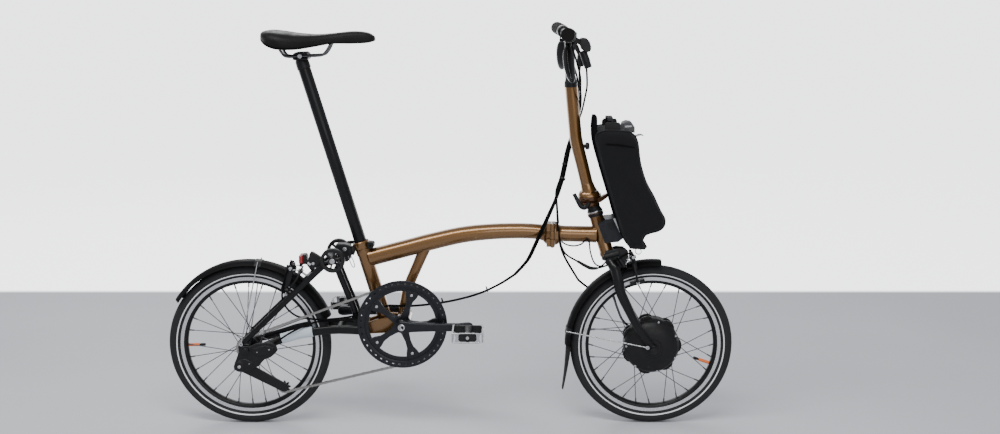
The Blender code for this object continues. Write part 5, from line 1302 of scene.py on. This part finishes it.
def handlebar():
    """Upper post, bar with its clamps and the pivots of the brake levers."""
    b = Build().tube([(0.3076, 0, 0.88), (0.3073, 0, 0.8905), (0.3068, 0, 0.899), (0.3054, 0, 0.9127),
            (0.3029, 0, 0.9724), (0.302, 0, 0.995)], [0.0166, 0.0166, 0.014, 0.0126, 0.0122, 0.0124], 40)
    b.turned(BAR_MID, both_sides([(0.0131, 0.022), (0.016, 0.022), (0.017, 0.0205)]), 44)
    b.object("bar_stem_body", SATIN, "handlepost", "bar_stem", sharp=50)
    b = Build()
    for s in SIDES:
        bolt(b, BAR_MID + V((0.015, s * 0.013, 0.006)), (1, 0, 0.35), 0.0034, 0.004)
    b.object("stem_bolts", STEEL, "handlepost")
    b = Build().tube(BAR_PATH, BAR_R, 32)
    for s in SIDES:
        mid = V((0.295, s * 0.144, 1.0128))
        b.turned(mid, both_sides([(0.0112, 0.008), (0.0145, 0.008), (0.0155, 0.007)]), 36)
        for dx in (-0.0058, 0.003):
            x0 = 0.2908 + dx
            b.plate([(x0, 0.9885), (x0 + 0.0028, 0.9885), (x0 + 0.0028, 1.004), (x0, 1.004)], s * 0.141,
                    s * 0.1535, 0.0006)
        b.plate([(0.287, 0.998), (0.306, 0.996), (0.31, 1.004), (0.308, 1.02), (0.296, 1.024),
                (0.286, 1.015)], s * 0.136, s * 0.153, 0.002)
        b.plate([(0.2975, 0.976), (0.307, 0.972), (0.311, 0.996), (0.3, 1.0)], s * 0.137, s * 0.143, 0.0014)
    b.object("handlebar_tube", BLACK, "handlepost", "handlebar", sharp=50)
    b = Build()
    for s in SIDES:
        b.rod((0.284, s * 0.148, 0.992), (0.2968, s * 0.148, 0.992), 0.0024, 14)
        b.tube([(0.2985, s * 0.138, 1.002), (0.304, s * 0.133, 0.996), (0.3085, s * 0.127, 0.99)],
                [0.0042, 0.0036, 0.0032], 14)
    b.object("lever_pivots", SATIN, "handlepost")


def grips_and_levers():
    """For each side: ribbed grip, lock ring, brake lever and steel lines along its edges as painted
    highlights.
    """
    for s, side in ((-1, "right"), (1, "left")):
        ends = V((0.2943, s * 0.16, 1.0138)), V((0.2834, s * 0.285, 1.0195))
        path = smooth_path([ends[0], V((0.29, s * 0.21, 1.0165)), ends[1]], per=22)
        L = len(path)
        rad = []
        for i in range(L):
            f = i / (L - 1)
            r = 0.0158 + 0.0006 * math.sin(math.pi * f)
            if 0.1 < f < 0.92:
                r += 0.0004 if (i % 3) else -0.0006
            rad.append(min(r, 0.0165))
        Build().tube(path, rad, 40, smooth=False).object(side + "_grip_sleeve", GRIP, "handlepost",
                side + "_grip", sharp=50)
        d = (path[3] - path[0]).normalized()
        Build().turned(path[0] - d * 0.0035, [(0.0112, 0), (0.0158, 0), (0.0165, 0.0008), (0.0165, 0.0062),
                (0.0158, 0.007), (0.0112, 0.007)], 40, d).object(side + "_lock_ring", STEEL, "handlepost")
        spots = [(0.2908, 0.144, 0.9922, 0.0048, 0.004), (0.2908, 0.151, 0.9885, 0.0052, 0.0046),
                (0.2905, 0.16, 0.98, 0.01, 0.0052), (0.2905, 0.178, 0.962, 0.0122, 0.005),
                (0.2918, 0.197, 0.944, 0.0122, 0.0048), (0.2935, 0.215, 0.93, 0.0112, 0.0047),
                (0.2952, 0.233, 0.919, 0.0092, 0.0046), (0.2962, 0.247, 0.9125, 0.0062, 0.0042),
                (0.2966, 0.252, 0.9105, 0.003, 0.0026)]
        mids = smooth_path([V((x, s * y, z)) for x, y, z, _, _ in spots])
        sizes = smooth_path([V((w, t, 0)) for _, _, _, w, t in spots])
        rings, highlight_lines = [], ([], [])
        for i, p in enumerate(mids):
            t = heading(mids, i)
            flat = (V((1, 0, 0)) - t * t.x).normalized()
            up = t.cross(flat) * s
            w, h = sizes[i].x, sizes[i].y
            rings.append([p + flat * (w * math.copysign(abs(math.cos(a)) ** 0.7, math.cos(a)))
                    + up * (h * math.copysign(abs(math.sin(a)) ** 0.8, math.sin(a)))
                    for a in (2 * math.pi * k / 24 for k in range(24))])
            # Lines along the blade's front edge and underside, drawn in steel: painted highlights.
            if 12 < i < len(mids) - 6:
                highlight_lines[0].append(p - flat * (w * 0.97))
                highlight_lines[1].append(p - flat * (w * 0.18) + up * (h * -0.86))
        lever = side + "_brake_lever"
        Build().rings(rings).object(lever + "_blade", BLACK, lever, lever, sharp=60)
        # Thin steel tubes on the blade edges: painted highlights.
        e = Build()
        for line, r in zip(highlight_lines, (0.0012, 0.0008)):
            e.tube(line, r, 8, smooth=False)
        e.object(side + "_lever_painted_highlight", STEEL, lever)


def display():
    """Display box with its clamp, the lamp barrel and the window."""
    b = Build().plate([(0.3225, 1.0035), (0.3275, 1.0062), (0.3385, 1.0052), (0.3425, 1.0008),
            (0.3495, 0.98), (0.3465, 0.9738), (0.3375, 0.971), (0.3265, 0.979), (0.3215, 0.994)], -0.118,
            -0.074, 0.0022)
    b.turned((0.2988, -0.108, 1.01), [(0.0127, 0), (0.0152, 0), (0.016, 0.001), (0.016, 0.019),
            (0.0152, 0.02), (0.0127, 0.02)], 32, (0.07, 1, -0.06))
    b.plate([(0.305, 0.998), (0.324, 0.988), (0.326, 1.001), (0.308, 1.011)], -0.103, -0.093)
    b.object("display_case", PLASTIC, "handlepost", "display", bevel=0.0006)
    b = Build()
    b.turned((0.3295, -0.1, 0.9745), [(0.0085, 0), (0.0098, 0.0015), (0.01, 0.029), (0.0092, 0.03),
            (0.0092, 0.04), (0.0086, 0.043), (0.007, 0.0436), (0.0066, 0.0425), (0.001, 0.0425)], 32,
            V((0.015, 0, -0.042)), closed=False)
    b.rod((0.325, -0.08, 0.964), (0.3256, -0.08, 0.936), 0.008, 20, 0.0015)
    b.plate([(0.305, 0.99), (0.323, 0.956), (0.33, 0.962), (0.32, 0.986), (0.309, 1.004)], -0.086, -0.076)
    b.object("bar_lamp", SATIN, "handlepost")
    Build().plate([(0.3445, 0.998), (0.3453, 0.9983), (0.3503, 0.9832), (0.3495, 0.9829)], -0.114, -0.078,
            0.0003).object("display_window", GLASS, "handlepost")


# ---------------------------------------------------------------- bag
def bag_body():
    """Padded shell with its piping. Noise and a few folds shape the front and the sides."""
    outline = [(0.3655, 0.756), (0.3695, 0.77), (0.385, 0.778), (0.403, 0.7795), (0.42, 0.7798),
            (0.437, 0.7794), (0.452, 0.7778), (0.464, 0.768), (0.4695, 0.758), (0.473, 0.746),
            (0.4768, 0.72), (0.4815, 0.697), (0.491, 0.671), (0.5024, 0.6449), (0.513, 0.618),
            (0.5235, 0.593), (0.536, 0.57), (0.5462, 0.551), (0.545, 0.535), (0.536, 0.525),
            (0.524, 0.5195), (0.5085, 0.5155), (0.4955, 0.5095), (0.489, 0.497), (0.4885, 0.483),
            (0.474, 0.4775), (0.461, 0.479), (0.448, 0.496), (0.4376, 0.5136), (0.425, 0.553),
            (0.4125, 0.593), (0.4002, 0.6334), (0.389, 0.669), (0.3783, 0.704), (0.3715, 0.731)]
    path = smooth_path([V((x, 0, z)) for x, z in outline], True, 4)
    cx = sum(p.x for p in path) / len(path)
    cz = sum(p.z for p in path) / len(path)
    rows = []
    for j in range(BAG_STEPS + 1):
        f = -1 + 2 * j / BAG_STEPS
        y = BAG_HALF_WIDTH * f
        pull = 1.0 - 0.1 * max(0.0, (abs(f) - 0.8) / 0.2) ** 2.2
        row = []
        for p in path:
            q = V((cx + (p.x - cx) * pull, y, cz + (p.z - cz) * pull))
            front = max(0.0, min(1.0, ((q.x - 0.4) + 0.3 * (q.z - 0.62)) / 0.1))
            w = noise.noise(V((q.x * 14, y * 9 + 3.1, q.z * 7))) * 0.0034
            w += noise.noise(V((q.x * 34, y * 30, q.z * 21 + 7.7))) * 0.0013
            folds = math.exp(-((q.z - 0.6) / 0.055) ** 2)
            w += 0.0022 * math.sin(q.z * 85 + q.x * 40 + 2.0 * math.sin(y * 38)) * folds
            d = V((q.x - cx, 0, q.z - cz)).normalized()
            q += d * (w * front - 0.003 * front)
            row.append(q)
        rows.append(row)
    b = Build().rings(rows, caps=False)
    # side panels: rings drawn inwards with shallow dimples
    for j, s in ((0, -1), (BAG_STEPS, 1)):
        base = rows[j]
        panels = [base]
        for k in range(1, 9):
            t = k / 9
            ring = []
            for p in base:
                q = V((p.x + (cx - p.x) * t, p.y, p.z + (cz - p.z) * t))
                bulge = 0.0014 * math.sin(math.pi * min(1, t * 1.4))
                bulge += noise.noise(V((q.x * 20, 5.0 * s, q.z * 11))) * 0.003 * min(1, t * 5)
                folds = math.exp(-((q.z - 0.59) / 0.06) ** 2)
                bulge += 0.0016 * math.sin(q.z * 62 + q.x * 90) * folds * min(1, t * 5)
                q.y = p.y + s * (bulge - 0.0016)
                ring.append(q)
            panels.append(ring)
        n = len(base)
        verts = [q for r in panels for q in r] + [V((cx, base[0].y, cz))]
        faces = [(a * n + i, a * n + (i + 1) % n, (a + 1) * n + (i + 1) % n, (a + 1) * n + i)
                for a in range(len(panels) - 1) for i in range(n)]
        faces += [((len(panels) - 1) * n + i, (len(panels) - 1) * n + (i + 1) % n, len(verts) - 1)
                for i in range(n)]
        b.add(verts, faces)
    obj = make("bag_shell", b.v, b.f, 180)
    bm = bmesh.new()
    bm.from_mesh(obj.data)
    bmesh.ops.remove_doubles(bm, verts=bm.verts, dist=1e-5)
    bmesh.ops.recalc_face_normals(bm, faces=bm.faces)
    bm.to_mesh(obj.data)
    bm.free()
    dress(obj, FABRIC, "battery_bag", "battery_bag", sub=1)

    piping = Build()
    for s, j in ((-1, 2), (1, BAG_STEPS - 2)):
        piping.tube([p + across(s * 0.0006) + V((p.x - cx, 0, p.z - cz)).normalized() * 0.0006
                for p in rows[j][::2]], 0.0017, 8, closed=True)
    piping.object("bag_piping", WEBBING, "battery_bag")


def bag_zip():
    """Zip along both sides and the front of the lid."""
    z = Build()
    for s in SIDES:
        z.tube([(0.39, s * 0.08, 0.744), (0.415, s * 0.0808, 0.743), (0.44, s * 0.0804, 0.74),
                (0.462, s * 0.078, 0.735)], 0.0016, 10)
    z.tube([(0.4735, y, 0.733) for y in (-0.07, -0.036, 0.0, 0.036, 0.07)], 0.0016, 10)
    z.object("bag_zip", HOUSING, "battery_bag")


def bag_back_plate():
    """Stiff plate with a rounded top, along the back edge of the bag, and the bag's foot."""
    line = smooth_path([(0.4585, 0, 0.481), (0.4366, 0, 0.513), (0.4115, 0, 0.593), (0.388, 0, 0.669),
            (0.3705, 0, 0.73), (0.366, 0, 0.76), (0.3668, 0, 0.785), (0.368, 0, 0.8085)])
    shoulder, top = 0.74, 0.8  # share of the length where the plate narrows and rounds off
    wide, narrow = 0.07, 0.056
    rings = []
    for i, p in enumerate(line):
        t = heading(line, i)
        out = V((t.z, 0, -t.x))
        f = i / (len(line) - 1)
        if f < shoulder:
            w = wide
        elif f < top:
            w = narrow + 0.014 * max(0.0, (top - f) / 0.06)
        else:
            w = narrow * max(0.3, 1 - ((f - top) / 0.2) ** 3) ** 0.5
        q = 0.0026 if f < 0.78 else 0.0044
        rings.append([p + across(-w) - out * q, p + across(w) - out * q, p + across(w) + out * q,
                p + across(-w) + out * q])
    Build().rings(rings).object("bag_back_plate", BACKING, "battery_bag", bevel=0.0012)
    b = Build()
    b.plate([(0.456, 0.486), (0.4935, 0.4925), (0.505, 0.4745), (0.498, 0.467), (0.46, 0.47)], -0.032,
            0.032, 0.002)
    b.object("bag_foot", PLASTIC, "battery_bag")


def bag_handle():
    """Flat carrying strap. It is as wide as half_w on one side of its line and less on the other."""
    half = [(0.408, 0.045, 0.7832), (0.4086, 0.0445, 0.79), (0.409, 0.042, 0.796), (0.409, 0.034, 0.802),
            (0.409, 0.025, 0.804), (0.409, 0, 0.8048)]
    half_w, half_thick, keep = 0.011, 0.0013, 0.28
    path = smooth_path([(x, -y, z) for x, y, z in half] + half[-2::-1])
    rings = []
    for i, p in enumerate(path):
        t = heading(path, i)
        side = across(1) if abs(t.y) < 0.7 else V((1, 0, 0))
        side = (side - t * side.dot(t)).normalized()
        up = t.cross(side) * half_thick
        a = side * (half_w * math.copysign(1, side.x or 1))
        rings.append([p + a * keep + up, p - a + up, p - a - up, p + a * keep - up])
    Build().rings(rings).object("bag_handle_strap", WEBBING, "bag_handle", "bag_handle")


def bag_fittings():
    """Handle sockets, front socket and metal rings."""
    b = Build()
    for s in SIDES:
        b.plate([(0.39, 0.764), (0.43, 0.765), (0.4295, 0.79), (0.4265, 0.795), (0.395, 0.7955),
                (0.3905, 0.79)], s * 0.047, s * 0.051, 0.0012)
    b.object("bag_sockets", PLASTIC, "battery_bag")
    Build().plate([(0.435, 0.774), (0.438, 0.79), (0.448, 0.7945), (0.46, 0.7925), (0.468, 0.78),
            (0.468, 0.766)], -0.026, 0.026, 0.003).object("bag_front_socket", SOCKET, "battery_bag")
    b = Build()
    b.plate([(0.442, 0.7795), (0.46, 0.781), (0.46, 0.785), (0.442, 0.785)], -0.0275, -0.0255, 0.0004)
    b.tube([(0.47, -0.034, 0.759), (0.482, -0.033, 0.762), (0.488, -0.028, 0.76), (0.488, -0.02, 0.76),
            (0.482, -0.015, 0.762), (0.47, -0.014, 0.759)], 0.0015, 10, closed=True)
    b.turned((0.483, -0.02, 0.461), both_sides([(0.007, 0.0009), (0.0088, 0.0009)]), 28, (0.3, 1, 0.2))
    b.object("bag_rings", STEEL, "battery_bag")


# ---------------------------------------------------------------- cables
def run(name, points, r, start_body, end_body=None, start=None, end=None, n=14):
    """One stretch of cable. With two bodies it is parented to neither and keeps its place. start and end
    are not used.
    """
    o = Build().tube(points, r, n).object(name, HOUSING, None if end_body else start_body)
    if end_body:
        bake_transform(o)
    return o


def beside(points, offset):
    """Points moved by an offset. A fourth value says how much of it that point takes."""
    return [V(p[:3]) + offset * (p[3] if len(p) > 3 else 1.0) for p in points]


TIE = V((0.2862, 0.004, 0.645))
OFFSETS = [V(), V((0.0052, 0.001, 0.0012)), V((0.001, 0.0052, -0.002)), V((-0.0038, 0.0036, 0.001))]


def bar_cables():
    """Four cables from the bar, tied at the head. Three go on under the frame, two of them to the back."""
    tops = [[(0.3253, -0.08, 0.938), (0.3235, -0.078, 0.92), (0.3255, -0.06, 0.895), (0.33, -0.025, 0.865),
            (0.331, 0.012, 0.83), (0.323, 0.025, 0.795), (0.311, 0.025, 0.75)],
            [(0.339, -0.098, 0.938), (0.341, -0.094, 0.915), (0.343, -0.07, 0.885), (0.341, -0.03, 0.855),
            (0.337, 0.012, 0.82), (0.329, 0.027, 0.79), (0.318, 0.027, 0.75)],
            [(0.304, 0.14, 0.978), (0.316, 0.132, 0.94), (0.328, 0.095, 0.9), (0.33, 0.055, 0.86),
            (0.327, 0.032, 0.82), (0.316, 0.03, 0.755)], [(0.304, -0.14, 0.978), (0.315, -0.13, 0.945),
            (0.325, -0.095, 0.91), (0.329, -0.045, 0.875), (0.333, -0.003, 0.85), (0.331, 0.022, 0.815),
            (0.309, 0.029, 0.75)]]
    backs = [[(-0.205, -0.0335, 0.308), (-0.26, -0.0395, 0.293), (-0.33, -0.0395, 0.286),
            (-0.3797, -0.0365, 0.2903), (-0.4011, -0.0365, 0.2984), (-0.4202, -0.0365, 0.3166),
            (-0.4303, -0.037, 0.342), (-0.4265, -0.0395, 0.372), (-0.42, -0.0395, 0.4),
            (-0.412, -0.0385, 0.418)], [(-0.195, -0.033, 0.31), (-0.235, -0.0395, 0.29),
            (-0.3, -0.0395, 0.283), (-0.35, -0.04, 0.278), (-0.405, -0.054, 0.257), (-0.45, -0.064, 0.228),
            (-0.468, -0.067, 0.212)]]
    for k, (top, offset) in enumerate(zip(tops, OFFSETS)):
        number = str(k + 1)
        top = [V(p) for p in top]
        o = run("cable_top_" + number, top, CABLE_R, "handlepost")
        if k == 0:
            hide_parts("cables")
        fold = [top[-1]] + beside([(0.302, 0.021, 0.715), (0.2945, 0.014, 0.68), TIE,
                (0.2762, -0.007, 0.615)], offset)
        run("cable_fold_" + number, fold, CABLE_R, "handlepost", "fork", top[-1], (0.29, 0.0, 0.6))
        if k == 3:
            continue
        steer = [fold[-1]] + beside([(0.264, -0.0175, 0.585), (0.249, -0.027, 0.555, 1.3),
                (0.237, -0.0345, 0.53, 1.4)], offset)
        run("cable_steer_" + number, steer, CABLE_R, "fork", "front_frame", V((0.2762, 0, 0.615)),
                V((0.237, 0, 0.53)))
        hinge = [steer[-1]] + beside([(0.216, -0.037, 0.483, 1.3), (0.196, -0.033, 0.44, 1.2),
                (0.164, -0.03, 0.402)], offset)
        run("cable_hinge_" + number, hinge, CABLE_R, "front_frame", "main_frame", V((0.237, 0, 0.53)),
                V((0.164, 0, 0.402)))
        under = [hinge[-1]] + beside([(0.125, -0.029, 0.3765), (0.077, -0.028, 0.3535),
                (0.02, -0.028, 0.3365, 0.8), (-0.04, -0.0275, 0.325, 0.7), (-0.1, -0.0275, 0.319, 0.6),
                (-0.16, -0.0285, 0.32, 0.6)], offset)
        run("cable_under_" + number, under, CABLE_R, "main_frame")
        if k < 2:
            run("cable_rear_" + number, [under[-1]] + backs[k], CABLE_R, "main_frame", "rear_frame",
                    V((-0.16, 0, 0.32)), (-0.26, 0, 0.36))


def front_brake_cable():
    start = V((0.2762, -0.007, 0.615)) + OFFSETS[3]
    run("front_brake_cable", [start, (0.2735, -0.022, 0.57), (0.2779, -0.033, 0.5092),
            (0.2919, -0.036, 0.4628), (0.3241, -0.036, 0.4395), (0.3609, -0.034, 0.42),
            (0.3974, -0.034, 0.4255), (0.43, -0.036, 0.444), (0.456, -0.035, 0.458), (0.468, -0.033, 0.45)],
            CABLE_R, "fork")


def motor_lead():
    """Lead from the tie to the hub motor, past the front tube."""
    lead = [TIE + V((-0.003, 0.003, 0)), (0.273, 0.015, 0.61), (0.276, 0.032, 0.57), (0.279, 0.044, 0.535)]
    run("motor_lead_top", lead, MOTOR_LEAD_R, "fork", "front_frame", lead[0], (0.279, 0, 0.535))
    lead = [lead[-1], (0.282, 0.047, 0.5), (0.286, 0.047, 0.465), (0.3, 0.048, 0.428), (0.3343, 0.05, 0.37)]
    run("motor_lead_mid", lead, MOTOR_LEAD_R, "front_frame", "fork", V((0.286, 0, 0.47)),
            V((0.3343, 0, 0.37)))
    lead = [lead[-1], (0.3627, 0.052, 0.3479), (0.395, 0.056, 0.339), (0.4241, 0.064, 0.331),
            (0.4388, 0.069, 0.2923), (0.456, 0.072, 0.2534), (0.485, 0.076, 0.2291), (0.506, 0.08, 0.218),
            (0.52, 0.08, 0.213)]
    run("motor_lead", lead, MOTOR_LEAD_R, "fork")


def lamp_wire():
    wire = [(0.286, -0.018, 0.486), (0.3, -0.024, 0.479), (0.3182, -0.026, 0.4765),
            (0.3364, -0.025, 0.4809), (0.35, -0.023, 0.493), (0.3575, -0.023, 0.483)]
    run("lamp_wire_top", wire, LAMP_WIRE_R, "front_frame", n=10)
    run("lamp_wire_low", [wire[-1], (0.36, -0.027, 0.46), (0.37, -0.03, 0.433), (0.386, -0.032, 0.425),
            (0.402, -0.031, 0.438)], LAMP_WIRE_R, "front_frame", "fork", V(wire[-1]), V((0.386, 0, 0.425)),
            n=10)


def cable_ties():
    """Ties of the cables at the head and under the frame, and the boot of the front brake cable."""
    b = Build()
    for p, d, r in ((TIE + V((0.002, 0.001, 0)), (0.3, 0.5, 1), 0.0078),
            (V((0.2945, 0.0145, 0.6815)), (0.25, 0.25, 1), 0.0076)):
        b.turned(p, both_sides([(r - 0.0016, 0.0022), (r, 0.002)]), 24, V(d))
    b.object("cable_ties", PLASTIC, "fork")
    b = Build()
    for x, z in ((-0.02, 0.3325), (0.095, 0.363)):
        b.turned((x, -0.026, z), both_sides([(0.0066, 0.0016), (0.0078, 0.0014)]), 24, (1, 0, 0.3))
    b.object("loom_ties", PLASTIC, "main_frame")
    Build().tube([(0.3261, -0.036, 0.4388), (0.345, -0.035, 0.4275), (0.3609, -0.034, 0.42),
            (0.378, -0.0338, 0.4195)], [0.0034, 0.0044, 0.0046, 0.0034],
            20).object("brake_cable_boot", RUBBER, "fork")


# ---------------------------------------------------------------- stage
WALL_START, WALL_END, WALL_GLOW = 1.44, 1.5, 2.5


def stage():
    """One large floor. Behind the bicycle its paint turns pale and glows, like a white wall."""
    floor = make("floor", [V((-300, -9, 0)), V((300, -9, 0)), V((300, 500, 0)), V((-300, 500, 0))],
            [(0, 1, 2, 3)])
    m = bpy.data.materials.new("floor_paint")
    m.use_nodes = True
    nt = m.node_tree
    link, shader = nt.links.new, nt.nodes["Principled BSDF"]
    place = node(nt, "TexCoord").outputs["Object"]
    sep = node(nt, "SeparateXYZ")
    link(place, sep.inputs[0])
    back = node(nt, "MapRange", from_min=WALL_START, from_max=WALL_END)
    back.interpolation_type = "SMOOTHSTEP"
    link(sep.outputs["Y"], back.inputs["Value"])
    patches = node(nt, "TexNoise", scale=1.6, detail=6)
    link(place, patches.inputs["Vector"])
    floor_colour = mixed(nt, patches.outputs["Fac"], (0.56, 0.57, 0.6), (0.66, 0.67, 0.7))
    link(mixed(nt, back.outputs["Result"], floor_colour, (0.86, 0.86, 0.87)), shader.inputs["Base Color"])
    shader.inputs["Roughness"].default_value = 0.62
    glow = node(nt, "Math")
    glow.operation = "MULTIPLY"
    glow.inputs[1].default_value = WALL_GLOW
    link(back.outputs["Result"], glow.inputs[0])
    link(glow.outputs[0], shader.inputs["Emission Strength"])
    shader.inputs["Emission Color"].default_value = (0.97, 0.98, 1.0, 1)
    floor.data.materials.append(m)


def lights():
    world = bpy.data.worlds.new("studio")
    bpy.context.scene.world = world
    world.use_nodes = True
    bg = world.node_tree.nodes["Background"]
    bg.inputs[0].default_value = (0.93, 0.95, 1.0, 1)
    bg.inputs[1].default_value = 0.62

    def light(name, loc, target, size, power, size_y=None, colour=(1, 1, 1)):
        d = bpy.data.lights.new(name, "AREA")
        d.energy, d.size, d.color = power, size, colour
        if size_y:
            d.shape, d.size_y = "RECTANGLE", size_y
        o = bpy.data.objects.new(name, d)
        o.location = loc
        o.rotation_euler = (V(target) - V(loc)).to_track_quat("-Z", "Y").to_euler()
        bpy.context.scene.collection.objects.link(o)

    light("key", (-0.6, -1.6, 3.2), (0, 0, 0.5), 3.2, 82, 0.7)
    light("front_fill", (1.2, -4.2, 1.6), (0, 0, 0.5), 2.6, 34, 1.8)
    light("left_side", (-0.8, 3.4, 2.6), (0, 0, 0.5), 2.6, 44, 1.8)


def camera():
    c = bpy.data.cameras.new("camera")
    c.sensor_width, c.lens, c.clip_end = 36.0, 45.83, 1000.0
    o = bpy.data.objects.new("camera", c)
    o.location = (0.1286, -3.2169, 1.1192)
    o.rotation_euler = (math.radians(79.91), 0, 0)
    bpy.context.scene.collection.objects.link(o)
    bpy.context.scene.camera = o


for part in (camera, rear_wheel, front_wheel, front_axle, main_tube, seat_tube, bottom_bracket,
        clamp_levers, seat_post, saddle, chainstays, seatstays, suspension, rollers, rear_axle, rear_light,
        cable_stop, derailleur, tensioner, chainstay_sleeve, calipers, chain, chainring, cranks, pedals,
        front_tube, carrier, fork, steering_head, crown, front_mudguard, post_hinge, handlepost, handlebar,
        grips_and_levers, display, bag_body, bag_zip, bag_back_plate, bag_handle, bag_fittings, bar_cables,
        front_brake_cable, motor_lead, lamp_wire, cable_ties, stage, lights):
    part()
